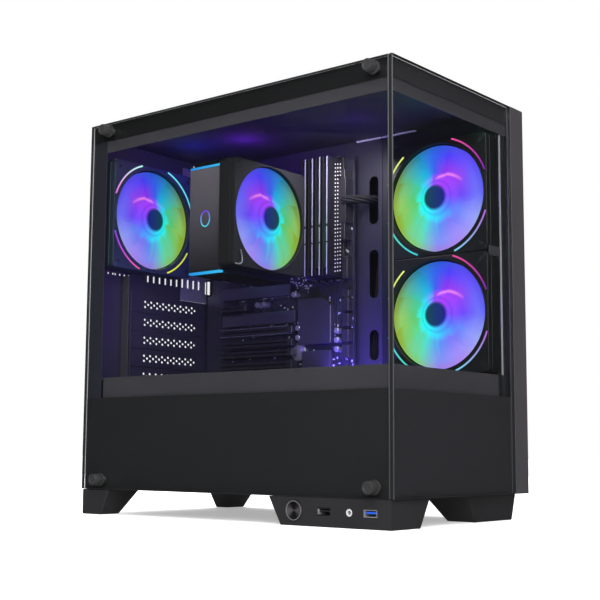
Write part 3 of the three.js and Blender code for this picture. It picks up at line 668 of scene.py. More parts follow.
for side, y in zip(("front", "rear"), KNOB_Y):
    for level, z in zip(("lower", "upper"), KNOB_Z):
        head = [(0, -11.6, 0), (3.4, -11.6, 0), (3.8, -12.0, 0), (5.2, -12.0, 0), (5.8, -11.3, 1),
                (5.8, -3.2, 1), (5.2, -2.6, 0), (5.2, -2.2, 0), (6.6, -2.0, 0), (6.6, -0.35, 0),
                (2.7, -0.3, 0), (2.7, 4.0, 0), (2.4, 6.2, 0), (0, 6.2, 0)]
        add_piece(f"knob_{side}_{level}_knurled", [knurled(head, (0, y, z), "x", 24, 0.07)],
                  NYLON, f"knob_{side}_{level}",
                  [f"glass_knob_{side}_{level}"], smooth=38)
for level, z in zip(("lower", "upper"), SCREW_Z):
    head = [(0, 410.4, 0), (4.6, 410.4, 0), (5.0, 411, 0), (6.4, 411, 0), (7, 410.2, 1),
            (7, 404.6, 1), (6.2, 404, 0), (6.2, 401.8, 0), (1.7, 401.8, 0), (1.7, 395.6, 0),
            (0, 394.9, 0)]
    add_piece(f"panel_screw_{level}_knurled", [knurled(head, (228, 0, z), "y", 30, 0.06)],
              NICKEL, f"panel_screw_{level}",
              [f"panel_screw_{level}"], smooth=38)

# %% [markdown]
# ## Lit fans
# Nine wide blades overlap when seen from the front, so the wheel reads as one glowing disc. The
# colours run round the hub like a rainbow, softer towards the rim. The front pair look out of
# the left glass; the other two look to the front and are mirror images of them.

# %% The colours round a fan
RING = ((0, "7c46fb"), (60, "a03af0"), (100, "8a4cfa"), (135, "30c8e8"), (180, "22ead6"),
        (235, "2ce4ee"), (285, "40aef6"), (330, "5c6cfa"))
MIDDLE = ((0, "7048fa"), (40, "9e40f2"), (75, "8a34f0"), (95, "3c5cf0"), (120, "1cb4e2"),
          (150, "44cc9c"), (180, "5eca70"), (210, "60d88a"), (240, "4ee0d0"), (270, "6092f8"),
          (300, "7e7cf8"), (330, "6a8afc"))
OUTER = ((0, "7072fa"), (45, "6c50fc"), (75, "4a3cf8"), (95, "3062ea"), (120, "1e98c4"),
         (150, "62b880"), (180, "94ca60"), (210, "82ca5c"), (240, "68dcae"), (270, "8492f6"),
         (300, "a28efa"), (330, "969efc"))
RIM = ((0, "5a62f2"), (45, "5a48f0"), (90, "2a56d8"), (120, "22809a"), (150, "6a9048"),
       (180, "90ac38"), (210, "90b434"), (240, "82d07e"), (270, "9a82e4"), (300, "b08af0"),
       (330, "9eaeee"))


def wheel(stops, angle):
    """Linear light round a ring of (angle, colour) stops, joined into a loop."""
    angles = np.array([a for a, _ in stops] + [stops[0][0] + 360], float)
    colours = np.array([linear(c) for _, c in stops + (stops[0],)])
    at = np.mod(angle, 360)
    return np.stack([np.interp(at, angles, colours[:, k]) for k in range(3)], -1)


def mix(a, b, share):
    """a + (b - a) * share, with the share kept between 0 and 1."""
    return a + (b - a) * np.clip(share, 0, 1)[..., None]


def fan_glow(angle, radius):
    """Colour at an angle in degrees and a radius in millimetres: four rings blended outwards."""
    ring, middle, outer, rim = (wheel(stops, angle) for stops in (RING, MIDDLE, OUTER, RIM))
    ring = ring * (1.2 - 0.25 * np.exp(-((radius - 17.6) / 1.2) ** 2))[..., None]
    out = mix(ring, middle, (radius - 21) / 6)
    out = mix(out, outer, (radius - 30) / 14)
    out = mix(out, rim, (radius - 46) / 7)
    teal, navy = linear("0a4646"), linear("161a86")
    side = 0.5 + 0.5 * np.cos(np.radians(angle)) * np.minimum(radius / 12, 1)
    centre = teal + (navy - teal) * side[..., None]
    return mix(centre, out, (radius - 12.3) / 1.2)


def swoosh(angle, radius):
    """A pink highlight that leaves the hub at its top and runs outwards to the right."""
    along = (96 - angle) / 72
    middle = 18.5 + 14 * np.clip(along, 0, 1) ** 0.8
    window = np.clip(along * 6, 0, 1) * np.clip((1 - along) * 3, 0, 1)
    return np.exp(-((radius - middle) / 1.5) ** 2) * window


# %% One fan wheel and its frame
HUB = 20.0                                    # radius
SWEEP, STATIONS, CHORD = 14.0, 44, 44         # degrees; points along and across a blade


def blade(start, span, root, tip, low, high):
    """A blade as closed wing sections from root to tip. Across the chord s, the angle is
    start + span * s + SWEEP * t ** 2 and the height rises from low to high; t runs outwards."""
    t = np.linspace(0, 1, STATIONS)[:, None]
    s = np.concatenate([np.linspace(0, 1, CHORD), np.linspace(1, 0, CHORD)[1:-1]])[None]
    upper = np.concatenate([np.ones(CHORD), -np.ones(CHORD - 2)])[None]
    radius = root + (tip - root) * t + 0 * s
    angle = start + span * s + SWEEP * t ** 2
    rise = low + (high - low) * (0.5 - 0.5 * np.cos(pi * s)) - 1.5 * t
    height = rise + upper * (0.15 + 0.65 * np.sin(pi * s) ** 0.7)
    turn = np.radians(angle)
    local = np.stack([radius * np.cos(turn), radius * np.sin(turn), height], -1)
    columns = s.shape[1]
    faces = grid_faces(STATIONS, columns, False, True)
    last = (STATIONS - 1) * columns
    faces += [list(range(columns)), list(range(last, last + columns))]
    return local.reshape(-1, 3), faces


def fan_wheel(tip, face, count=9, overlap=1.6, ringed=True):
    """Hub and blades in a fan's own axes: right, up, and out of its face. A ringed wheel joins
    the blade tips with a thin ring, which gives the glowing disc its round outline."""
    low, high = face - 10.0, face - 2.6
    span = 360 / count * overlap
    parts = [blade(k * 360 / count, span, HUB - 2, tip - 0.4, low, high) for k in range(count)]
    nose = face + 1.6
    hub = [(0, nose), (4, nose), (8, nose), (11, nose), (12.9, nose - 0.3), (14.1, nose - 1.2),
           (15.4, nose - 2.0), (17.6, nose - 2.8), (19.2, nose - 3.8), (HUB, nose - 5.4),
           (HUB, low - 2.0), (0, low - 2.0)]
    parts.append(turned(hub, (0, 0, 0), "z", 72))
    if ringed:
        ring = [(tip - 1.3, low), (tip - 1.3, face - 4.2), (tip - 0.9, face - 3.6),
                (tip - 0.3, face - 3.6), (tip, face - 4.2), (tip, low)]
        parts.append(turned(ring, (0, 0, 0), "z", 96))
    return parts


SQUARENESS = 26


def square_radius(angle, half):
    """Radius of a rounded square: half / (|cos| ** n + |sin| ** n) ** (1 / n), n its squareness."""
    c, s = np.abs(np.cos(angle)), np.abs(np.sin(angle))
    return half / (c ** SQUARENESS + s ** SQUARENESS) ** (1 / SQUARENESS)


def fan_frame(half, duct, depth):
    """A square frame carried round its axis: duct, lip, face, side with a seam, and back."""
    corner = np.array([0, 0.8, 1.6, 2.5, 3.6, 5.0])
    around = np.concatenate([np.arange(0, 360, 5.0)] +
                            [45 + 90 * k + s * corner for k in range(4) for s in (-1, 1)])
    turn = np.radians(np.unique(np.round(np.mod(around, 360), 3)))
    inner = [(duct - 0.4, 0.6), (duct, 4), (duct, depth - 5), (duct - 0.9, depth - 2),
             (duct - 0.9, depth - 0.2), (duct - 0.5, depth + 0.4), (duct + 0.2, depth + 0.4),
             (duct + 0.5, depth)]
    outer = [(0.7, depth), (0.2, depth - 0.3), (0, depth - 0.8), (0, depth - 6.2),
             (0.4, depth - 6.5), (0.4, depth - 6.9), (0, depth - 7.2), (0, 0.8), (0.7, 0)]
    rings = [np.stack([np.full(len(turn), r), np.full(len(turn), h)], -1) for r, h in inner]
    edge = square_radius(turn, half)
    rings += [np.stack([edge - inset, np.full(len(turn), h)], -1) for inset, h in outer]
    section = np.stack(rings, 1)
    local = np.stack([section[..., 0] * np.cos(turn)[:, None],
                      section[..., 0] * np.sin(turn)[:, None], section[..., 1]], -1)
    parts = [(local.reshape(-1, 3), grid_faces(len(turn), len(rings), True, True))]
    motor = [(0, 3.0), (19.4, 3.0), (HUB, 2.4), (HUB, 0.3), (19.5, 0), (0, 0)]
    parts.append(turned(motor, (0, 0, 0), "z", 48))
    strut_points, strut_faces = boxes((17, duct + 0.8, -2, 2, 0.05, 2.9))
    for k in range(4):
        turn_k = radians(45 + 90 * k)
        spin = np.array([[cos(turn_k), sin(turn_k), 0], [-sin(turn_k), cos(turn_k), 0], [0, 0, 1]])
        parts.append((strut_points @ spin, strut_faces))
    return parts


def seat(parts, centre, facing):
    """Moves parts from a fan's own axes into the case: facing "left", "front" or "down"."""
    cx, cy, cz = centre
    moved = []
    for points, faces in parts:
        right, up, out = np.asarray(points).T
        columns = {"left": (cx - out, cy - right, cz + up),
                   "front": (cx + right, cy - out, cz + up),
                   "down": (cx + right, cy + up, cz - out)}[facing]
        moved.append((np.stack(columns, -1), faces))
    return moved


def wheel_colours(parts, mirrored, dim):
    """The glow at each point of a wheel, with the pink highlight laid over it."""
    points = np.concatenate([p for p, _ in parts])
    radius = np.hypot(points[:, 0], points[:, 1])
    angle = np.degrees(np.arctan2(points[:, 1], points[:, 0]))
    angle = np.mod(180 - angle if mirrored else angle, 360)
    colours = fan_glow(angle, radius)
    colours = mix(colours, linear("ff8cf4"), swoosh(angle, radius) * 0.9)
    return colours * dim


# %% The four lit fans
ARC_RADIUS, ARC_STEPS, ARC_SIDES = 61.5, 25, 10
SCREW_OUT = 52.5                              # of a fan's four screws, from its axis
SIDE_ARCS = ((20, 71, "7a1cae", "f0509c"), (129, 161, "f4ff86", "c8e85a"),
             (199, 249, "5ce8b0", "40cfe0"), (291, 341, "7fd4ee", "b45cd8"))
REAR_ARCS = ((20, 71, "58dfe8", "74e6f0"), (109, 160, "b8fff0", "f06cd8"),
             (199, 250, "8a3cf0", "f060a0"), (291, 330, "e8e83c", "cfd63a"))
SIDE_FRAME = grained("pbt_fan_frame_side", "08090a", "0c0f0f", 0.5, 0.8, 0.01)
# Painted light: the rear frame's blue tint is the fans' glow painted onto black plastic
REAR_FRAME_PAINTED_GLOW = grained("pbt_fan_frame_painted_blue_glow", "1a2634", "1e2c3a", 0.5, 0.8, 0.01)
COOLER_FRAME = grained("pbt_fan_frame_black", "0c0c0d", "101011", 0.75, 0.8, 0.01)
FANS = {"side_fan_lower": ("left", SIDE_FRAME), "side_fan_upper": ("left", SIDE_FRAME),
        "rear_fan": ("front", REAR_FRAME_PAINTED_GLOW), "cooler_fan": ("front", COOLER_FRAME)}

for name, (facing, frame_finish) in FANS.items():
    low, high = case_box(f"{name}_frame")
    centre = (low + high) / 2
    along = 0 if facing == "left" else 1
    centre[along] = high[along]
    depth, half = high[along] - low[along], (high[2] - low[2]) / 2
    duct, tip = (57.0, 54.5) if half > 58 else (55.0, 53.6)
    wheel_parts = fan_wheel(tip, depth)
    if facing == "front":
        wheel_parts = [(points * (-1, 1, 1), [face[::-1] for face in faces])
                       for points, faces in wheel_parts]
    colours = wheel_colours(wheel_parts, facing == "front", 1.0 if facing == "left" else 0.86)
    add_piece(f"{name}_blades", seat(wheel_parts, centre, facing), LIT_BLADES, name,
              [f"{name}_rotor"], smooth=40, colours=colours)
    add_piece(f"{name}_housing", seat(fan_frame(half, duct, depth), centre, facing),
              frame_finish, "case", [f"{name}_frame"], smooth=32)
    if name == "cooler_fan":
        continue
    eye = [(0, depth + 0.06), (2.1, depth + 0.06), (2.1, depth - 0.5), (0, depth - 0.5)]
    eyes = [turned(eye, (sx, sy, 0), "z", 24) for sx in (-SCREW_OUT, SCREW_OUT)
            for sy in (-SCREW_OUT, SCREW_OUT)]
    add_piece(f"{name}_screw_eyes", seat(eyes, centre, facing), RUBBER, "case")
    for k, (start, end, first, last) in enumerate(SIDE_ARCS if facing == "left" else REAR_ARCS):
        turn = np.radians(np.linspace(start, end, ARC_STEPS))
        path = np.stack([ARC_RADIUS * np.cos(turn), ARC_RADIUS * np.sin(turn),
                         np.full(ARC_STEPS, depth)], -1)
        arc = swept(path, 0.9, ARC_SIDES)
        share = np.repeat(np.linspace(0, 1, ARC_STEPS), ARC_SIDES)
        colours = mix(linear(first), linear(last), share)
        add_piece(f"{name}_light_{k + 1}", seat([arc], centre, facing), LIT_GUIDE, "case",
                  smooth=40, colours=colours)
print("fans", len(FANS))

# %% [markdown]
# ## The tower cooler
# Thin fins stand side by side on four heat pipes. A cap closes the outer end, with a lit strip
# along its top and bottom and a plain ring as its badge.

# %% Fins, pipes and cap
low, high = case_box("cooler_heatsink")
FIN_PITCH, FIN_THICK = 2.3, 0.45
fin_x = np.arange(42.0, 147.0, FIN_PITCH)
fins = boxes(*[(x, x + FIN_THICK, low[1], high[1], low[2], high[2]) for x in fin_x])
folds = boxes(*[(x + FIN_THICK + 0.02, x + FIN_PITCH - 0.02, y, y + 0.4, z, z + 9)
                for x in fin_x[:-1] for y in (low[1], high[1] - 0.4)
                for z in (low[2], high[2] - 9)])
add_piece("cooler_fins", [fins, folds], FIN_METAL, replaces=["cooler_heatsink"])
PIPE_BENDS = ((40.4, 1, 1), (60, 1, 1), (150, 1, 1), (162, 0.9, 0.9), (171, 0.8, 0.7),
              (176, 0.75, 0.6))               # x, and how far the pipes keep apart in y and z
PIPE_Y, PIPE_Z, PIPE = 259, 281, 2.9          # middle of the four pipes and their radius
pipes = []
for dy in (-14, 14):
    for dz in (-16, 16):
        bends = [(x, PIPE_Y + dy * p, PIPE_Z + dz * q) for x, p, q in PIPE_BENDS]
        pipes.append(swept(smooth_path(bends, 40), PIPE, 14))
add_piece("cooler_heat_pipes", pipes, COPPER, smooth=40)
base = boxes((172.5, 179.4, 239, 279, 257, 305), (170, 172.4, 243, 275, 262, 300))
add_piece("cooler_base", [base], NICKEL, bevel=(0.8, 2))


def cap_painted_light(bottom, top):
    """Satin plastic with painted light: brightest at the cap's top edge, darkening downwards to its
    bottom edge.
    """
    material, tree = new_material("abs_cap_painted_light")
    where = node(tree, "ShaderNodeTexCoord").outputs["Object"]
    height = node(tree, "ShaderNodeSeparateXYZ", {"Vector": where}).outputs["Z"]
    share = node(tree, "ShaderNodeMapRange", {"Value": height,
                                              "From Min": place((0, 0, bottom))[2],
                                              "From Max": place((0, 0, top))[2]})
    principled(tree, {"Base Color": blend(tree, share.outputs["Result"], "141418", "5a555b"),
                      "Roughness": 0.42})
    return material


low, high = case_box("cooler_cover")
cap = boxes((low[0], high[0], low[1], high[1], low[2] + 2.2, high[2] - 2.2))
# The cap's colour carries painted light, bright at its top and dark at its bottom
add_piece("cooler_cap", [cap], cap_painted_light(low[2], high[2]),
          replaces=["cooler_cover"], bevel=(1.2, 3))
strip_parts = boxes((low[0] + 0.3, high[0], low[1] + 0.3, high[1] - 0.3, low[2], low[2] + 2),
                    (low[0] + 0.3, high[0], low[1] + 0.3, high[1] - 0.3, high[2] - 2, high[2]))
strip_colours = np.repeat([linear("1f8fe0")], len(strip_parts[0]), 0)
strip_colours[strip_parts[0][:, 1] < (low[1] + high[1]) / 2] = linear("35b8ea")
add_piece("cooler_cap_lights", [strip_parts], LIT_GUIDE,
          colours=strip_colours)
# A painted highlight: a glowing pale strip on the cap's front corner stands for light caught by the
# edge
painted_edge_highlight = boxes((low[0] - 0.3, low[0] + 0.9, low[1] - 0.3, low[1] + 0.9, 253, 303))
add_piece("cooler_cap_painted_highlight", [painted_edge_highlight], LIT_GUIDE,
          colours=np.repeat([linear("b9babd")], 8, 0))
turn = np.linspace(0, 2 * pi, 48, endpoint=False)
outward = np.stack([0 * turn, np.cos(turn), np.sin(turn)], -1)
badge = hoop((low[0] - 0.1, 258, 278) + (0, 6.2, 8) * outward, outward, (1.0, 0, 0), 8, 0.75, 0.4)
badge_colours = mix(linear("43d6e0"), linear("7a3ce8"), np.repeat(0.5 + 0.5 * np.sin(turn), 8))
add_piece("cooler_cap_badge", [badge], LIT_GUIDE, smooth=60,
          colours=badge_colours)
clip = smooth_path([(39, 212.8, 242), (40.5, 212.5, 236), (41, 212.4, 230), (37, 212.4, 227),
                    (31, 212.6, 227)], 30)
add_piece("cooler_fan_clips", [swept(clip, 0.8)], NICKEL, smooth=60)
print("fins", len(fin_x))

# %% [markdown]
# ## The motherboard
# The board stands upright on the tray. Most of what it carries is boxes and short cylinders:
# sockets, slots, chokes, capacitors and chips. Each group is one piece in its own finish.

# %% Board, heatsinks and slots
FACE = case_box("motherboard")[0][0]          # front of the board, which looks to the left
LIFT = 0.02                                   # keeps parts from lying in the board's own face


def on_board(y0, y1, z0, z1, tall):
    """A box standing just clear of the board from y0, z0 to y1, z1."""
    return (FACE - LIFT - tall, FACE - LIFT, y0, y1, z0, z1)


low, high = case_box("motherboard")
add_piece("motherboard_pcb", [boxes((low[0], high[0], low[1], 387.0, low[2], high[2]),
                                    (low[0], high[0], 387.02, high[1], low[2], 223.0),
                                    (low[0], high[0], 387.02, high[1], 243.0, high[2]))],
          SOLDER_MASK, replaces=["motherboard"])
low, high = case_box("vrm_heatsink")
fin_z = np.arange(low[2], high[2] - 1.9, 3.2)
vrm = boxes((low[0] + 16, high[0], low[1], high[1], low[2], high[2]),
            *[(low[0], low[0] + 15.9, low[1], high[1], z, z + 1.9) for z in fin_z])
rear_vrm = boxes(on_board(352, 370, 252, 344, 26),
                 *[(FACE - 36, FACE - 26.1, 352, 370, z, z + 2.4)
                   for z in np.arange(252, 342, 4.6)])
add_piece("vrm_heatsink_finned", [vrm, rear_vrm], ALUMINIUM,
          replaces=["vrm_heatsink"], bevel=(0.4, 2))
low, high = case_box("chipset_heatsink")
plate = np.array([(high[1], low[2]), (high[1], high[2]), (low[1] + 12, high[2]),
                  (low[1], high[2] - 9), (low[1], low[2])])
plate_points = np.concatenate([np.c_[np.full(5, x), plate] for x in (low[0], high[0])])
plate_faces = [[0, 1, 2, 3, 4], [9, 8, 7, 6, 5]] + [[k, (k + 1) % 5, 5 + (k + 1) % 5, 5 + k]
                                                    for k in range(5)]
add_piece("chipset_heatsink_plate", [(plate_points, plate_faces)], ALUMINIUM,
          replaces=["chipset_heatsink"], bevel=(0.8, 3))
covers = boxes(*[(FACE - tall, FACE - 0.3, *span)
                 for tall, *span in ((7, 262, 366, 214, 228), (6, 256, 366, 183, 197),
                                     (6, 206, 246, 131, 150), (4, 258, 366, 155, 158))])
add_piece("drive_covers", [covers], ALUMINIUM, bevel=(0.8, 2))
low, high = case_box("expansion_slot")
slot_parts = []
for z, y0 in ((175.0, 262), (160.5, 262), (149.5, 262), (136.0, 262), (204.0, 330)):
    slot_parts += [(low[0], high[0], y0, 364, z - 3.6, z - 0.9),
                   (low[0], high[0], y0, 364, z + 0.9, z + 3.6),
                   (low[0] + 3, high[0], y0, 364, z - 0.88, z + 0.88),
                   (low[0] - 1.5, high[0], y0 - 7, y0 - 0.05, z - 4, z + 4)]
add_piece("expansion_slots", [boxes(*slot_parts)], ABS_SMOOTH,
          replaces=["expansion_slot"], bevel=(0.3, 1))
steel = [(low[0] - 0.4, high[0], 262, 364, z - 0.25, z + 0.25) for z in (170.9, 179.1)]
add_piece("expansion_slot_armour", [boxes(*steel)], NICKEL)

# %% Small parts on the board
rng = np.random.default_rng(11)
chips, tinned_glint_pads, dark, pale = [], [], [], []    # epoxy, tinned, black plastic and ceramic parts
TINNED_GLINT_SHARE, PALE_SHARE = 0.35, 0.5          # of the scattered parts, the second one added up
for z in np.arange(316.0, 340, 11.6):
    dark += [on_board(y, y + 9.4, z, z + 9.4, 8) for y in np.arange(300.0, 345, 11.4)]
for z in np.arange(250.0, 312, 11.6):
    dark.append(on_board(334, 344, z, z + 10, 8))
dark += [on_board(252, 258, 126, 133, 8), on_board(181.5, 186.5, 268, 346, 13),
         on_board(180, 188, 206, 214, 8), on_board(196, 240, 122, 126, 8),
         on_board(262, 300, 121, 125.5, 8), on_board(306, 330, 121, 125.5, 8),
         on_board(180, 187, 226, 250, 10)]
for z in (140.0, 157.0, 174.0, 191.0):
    dark.append(on_board(179.5, 188.5, z, z + 14, 9))
    chips.append(on_board(180.5, 187.5, z + 2, z + 6, 9.3))
chips += [on_board(342, 351, 128, 137, 1.4), on_board(310, 322, 189, 201, 1.5),
          on_board(370, 379, 196, 205, 1.4), on_board(252, 262, 236, 246, 1.4),
          on_board(200, 212, 212, 220, 1.4), on_board(228, 240, 212, 220, 1.4),
          on_board(286, 298, 236, 246, 1.4), on_board(348, 358, 208, 216, 1.4)]
for y0, y1, z0, z1, count in ((190, 372, 119, 156, 150), (190, 372, 164, 212, 170),
                              (235, 350, 212, 240, 220), (300, 350, 240, 345, 60),
                              (178, 192, 122, 350, 60)):
    y = rng.uniform(y0, y1 - 3, count)
    z = rng.uniform(z0, z1 - 3, count)
    upright = rng.random(count) < 0.5
    for yk, zk, flip, pick in zip(y, z, upright, rng.random(count)):
        wide, tall = (1.1, 2.2) if flip else (2.2, 1.1)
        target = tinned_glint_pads if pick < TINNED_GLINT_SHARE else pale if pick < PALE_SHARE else chips
        target.append(on_board(yk, yk + wide, zk, zk + tall, 0.9))
can = [(0, -9.0), (2.7, -9.0), (3.2, -8.5), (3.2, 0), (0, 0)]
cans = [turned(can, (FACE - 0.05, y, z), "x", 20)
        for y, z in ((196, 150), (196, 160), (196, 170), (250, 165), (250, 176), (256, 214),
                     (300, 206), (310, 206), (352, 240), (362, 240),
                     *[(y, 345) for y in range(240, 281, 10)])]
add_piece("board_capacitors", cans, NICKEL, smooth=40)
battery = turned([(0, -3.4), (9.2, -3.4), (10, -2.8), (10, 0), (0, 0)], (FACE - 0.1, 253, 150),
                 "x", 40)
add_piece("board_battery", [battery], NICKEL, smooth=40)
add_piece("board_chips", [boxes(*chips)], CHIP_EPOXY)
# Partly real, partly painted: tinned pads are silver, and their pale colour also paints the glint
# of light on them
add_piece("board_pads", [boxes(*tinned_glint_pads)],
          grained("tinned_pads_painted_glint", "9c9aa6", "b2b0ba", 0.3, 0.5, 0.001))
add_piece("board_chokes_and_headers", [boxes(*dark)], ABS_SMOOTH,
          bevel=(0.4, 1))
add_piece("board_ceramic_parts", [boxes(*pale)], PALE_PLASTIC)
low, high = case_box("cpu")
add_piece("cpu_spreader", [boxes(np.stack([low, high], -1))], NICKEL,
          replaces=["cpu"], bevel=(0.8, 2))
print("small parts", len(chips) + len(tinned_glint_pads) + len(pale) + len(dark))

# %% [markdown]
# ### Memory
# Each module is a bare board between two dark heat spreaders, in a socket with a latch at each
# end. Painted highlights along the spreaders' edges show as fine upright lines.

# %% Memory modules
EDGE_PAINTED_HIGHLIGHT = grained("spreader_edge_painted_highlight", "8c8b94", "a3a2aa", 0.35, 0.5, 0.001)
SPREADER = grained("anodised_spreader", "141417", "1b1b1f", 0.4, 0.5, 0.002)
PIN_METAL = grained("tinned_pins", "dcd8c4", "ece8da", 0.35, 0.5, 0.001)
for k in range(4):
    low, high = case_box(f"memory_module_{k + 1}")
    middle = (low[1] + high[1]) / 2
    spreader = boxes((150, 175.5, low[1], low[1] + 1.3, 228, 357),
                     (150, 175.5, high[1] - 1.3, high[1], 228, 357),
                     (150, 153, low[1] + 1.35, high[1] - 1.35, 236, 349))
    add_piece(f"memory_{k + 1}_spreaders", [spreader], SPREADER,
              replaces=[f"memory_module_{k + 1}"], bevel=(0.35, 2))
    board = boxes((153.5, 178.5, middle - 0.6, middle + 0.6, 226, 359))
    add_piece(f"memory_{k + 1}_board", [board], SOLDER_MASK)
    socket = boxes((178.6, FACE - 0.02, middle - 3.2, middle + 3.2, 223, 361.5),
                   (172, 178.5, middle - 3, middle + 3, 223, 225.6),
                   (172, 178.5, middle - 3, middle + 3, 359.4, 361.5))
    add_piece(f"memory_{k + 1}_socket", [socket], ABS_SMOOTH, bevel=(0.3, 1))
    # Painted highlights: pale strips on the spreaders' front edges
    edges = boxes(*[(149.3, 149.95, low[1] + 0.2, low[1] + 1.1, *span)
                    for span in ((228, 262), (264, 280), (283, 357))])
    add_piece(f"memory_{k + 1}_painted_highlight_edges", [edges], EDGE_PAINTED_HIGHLIGHT)
near_face = case_box("memory_module_1")[0][1]
for k, x in enumerate((163.0, 167.5, 172.0)):
    pins = boxes(*[(x, x + 1.0, near_face - 0.5, near_face - 0.02, z, z + 1.3)
                   for z in np.arange(232.0 + k, 352, 4.2)])
    add_piece(f"memory_contacts_{k + 1}", [pins], PIN_METAL)

# %% [markdown]
# ## Rear sockets and power supply
# The socket plate is thin bright steel punched for each socket, with a vent at its foot. The
# power supply is a steel box with a fan at its base and a honeycomb of round holes at its rear.

# %% Socket block and plate
finished_copy("rear_io_block", NICKEL, (0.5, 2))
low, high = case_box("io_shield")
USB_Z = (250, 259, 276, 285)
mouths = [(152.4, 166.6, z - t / 2 - 0.6, z + t / 2 + 0.6)
          for z, t in (*[(z, 5.4) for z in USB_Z], (303, 9))]
shield_slots = narrow_slots(x for x in SLOT_X if x > SHIELD_EDGE) + [(182.6, 185.2, 226.0, 240.5)]
shield = cut_sheet("xz", (0, low[1], 0), low, high, high[1] - low[1],
                   openings=mouths + shield_slots)
add_piece("io_shield_plate", [shield], NICKEL, replaces=["io_shield"])
tongues = boxes(*[(154, 165, 385, 397.5, z + 0.4, z + 1.6) for z in USB_Z])
add_piece("rear_usb_tongues", [tongues], BLUE_PLASTIC)
jacks = [turned([(3.6, 397.2), (3.6, 399.9), (2.0, 399.9), (2.0, 397.2)], (x, 0, z), "y", 24)
         for x in (156.0, 168.0) for z in (322.0, 334.0, 346.0)]
add_piece("rear_audio_jacks", jacks, ABS_SMOOTH, smooth=40)

# %% Power supply
low, high = case_box("psu_case")
WALL = 1.5
rear_plate = cut_sheet("xz", (0, high[1] - WALL, 0), low, high, WALL,
                       [(92.0, 182.0, 9.0, 81.0, 20, 16)],
                       [(54.5, 81.5, 34.5, 55.1), (58.2, 77.8, 62.5, 77.5)], radius=(1.9, 1.9))
inner_low, inner_high = low + WALL, high - WALL
back = inner_high[1] - 0.02
walls = boxes((low[0], inner_low[0], low[1], back, low[2], high[2]),
              (inner_high[0], high[0], low[1], back, low[2], high[2]),
              (inner_low[0], inner_high[0], low[1], inner_low[1], low[2], high[2]),
              (inner_low[0], inner_high[0], inner_low[1], back, inner_high[2], high[2]))
PSU_X, PSU_Y, PSU_STEPS = 113, 326, 48        # axis of the fan, corners of the round opening
turn = np.radians(np.arange(PSU_STEPS) * 360 / PSU_STEPS)


def level_ring(half_x, half_y, z):
    """Points round the fan's axis at one height, half_x and half_y from it."""
    return np.stack([PSU_X + half_x * np.cos(turn), PSU_Y + half_y * np.sin(turn),
                     np.full(PSU_STEPS, z)], -1)


sheet_x, sheet_y = square_radius(turn, 73.4), square_radius(turn, 64.6)
rings = [level_ring(60, 60, low[2]), level_ring(sheet_x, sheet_y, low[2]),
         level_ring(sheet_x, sheet_y, inner_low[2]), level_ring(60, 60, inner_low[2])]
floor_plate = (np.stack(rings, 1).reshape(-1, 3), grid_faces(PSU_STEPS, 4, True, True))
add_piece("psu_housing", [rear_plate, walls, floor_plate], BLACK_STEEL, replaces=["psu_case"],
          smooth=30)
turn = np.linspace(0, 2 * pi, 64, endpoint=False)
outward = np.stack([np.cos(turn), np.sin(turn), 0 * turn], -1)
WIRE = 0.7                                    # radius of the guard's wire
wires = [hoop((PSU_X, PSU_Y, 2.6) + radius * outward, outward, (0, 0, 1.0), 6, WIRE, WIRE)
         for radius in np.arange(9.0, 60.1, 8.5)]
for angle in (45, 135, 225, 315):
    c, s = cos(radians(angle)), sin(radians(angle))
    wires.append(swept([(PSU_X + r * c, PSU_Y + r * s, 3.6) for r in (0, 30, 60.5)], WIRE, 6))
add_piece("psu_fan_guard", wires, NICKEL, smooth=60)
psu_wheel = fan_wheel(58.0, 19.0, 7, 1.25, False)
add_piece("psu_fan_blades", seat(psu_wheel, (PSU_X, PSU_Y, 24.2), "down"), FAN_PLASTIC, "psu_fan",
          ["psu_fan_rotor"], smooth=40)
finished_copy("psu_inlet", ABS_SMOOTH, (0.5, 2))
finished_copy("psu_switch", ABS_SMOOTH, (0.4, 2))
prongs = boxes((67, 69, 386, 396.5, 47.4, 51.4), (60.5, 62.5, 386, 396.5, 40.8, 44.8),
               (73.5, 75.5, 386, 396.5, 40.8, 44.8))
add_piece("psu_inlet_pins", [prongs], NICKEL, bevel=(0.3, 1))

# %% [markdown]
# ## Controls in the plinth
# The power button is a turned metal cap with fine circular grooves; its double fan of light is a
# painted sheen in its colour. Beside it are two USB sockets and a headset jack.

# %% Button, USB sockets and jack
BUTTON = (0, 110, -12.5)                      # middle of its face
GROOVE = 0.35                                 # millimetres from one groove to the next


def turned_metal():
    """Spun metal: grooves as rings round the button's own axis, and a painted sheen in the base
    colour, a double fan whose strength is (y * y / (y * y + z * z)) ** 2, with y and z from that
    axis."""
    material, tree = new_material("spun_metal_painted_sheen")
    where = node(tree, "ShaderNodeTexCoord").outputs["Object"]
    centred = node(tree, "ShaderNodeMapping", {"Vector": where, "Location": tuple(-place(BUTTON))})
    rings = node(tree, "ShaderNodeTexWave", {"Vector": centred.outputs["Vector"],
                                             "Scale": pi / (20 * GROOVE * MM)},
                 wave_type="RINGS", rings_direction="X")
    bump = node(tree, "ShaderNodeBump", {"Height": rings.outputs["Fac"], "Strength": 0.8,
                                         "Distance": 0.06 * MM})
    parts = node(tree, "ShaderNodeSeparateXYZ", {"Vector": centred.outputs["Vector"]})
    flat = node(tree, "ShaderNodeCombineXYZ", {"Y": parts.outputs["Y"], "Z": parts.outputs["Z"]})
    unit = node(tree, "ShaderNodeVectorMath", {0: flat.outputs["Vector"]}, operation="NORMALIZE")
    across = node(tree, "ShaderNodeSeparateXYZ", {"Vector": unit.outputs["Vector"]})
    square = arithmetic(tree, "MULTIPLY", across.outputs["Y"], across.outputs["Y"])
    # The double fan is painted sheen in the base colour
    sheen = arithmetic(tree, "POWER", square, 2.0)
    principled(tree, {"Base Color": blend(tree, sheen, "0c0b0c", "403e40"), "Roughness": 0.3,
                      "Normal": bump.outputs["Normal"]})
    return material


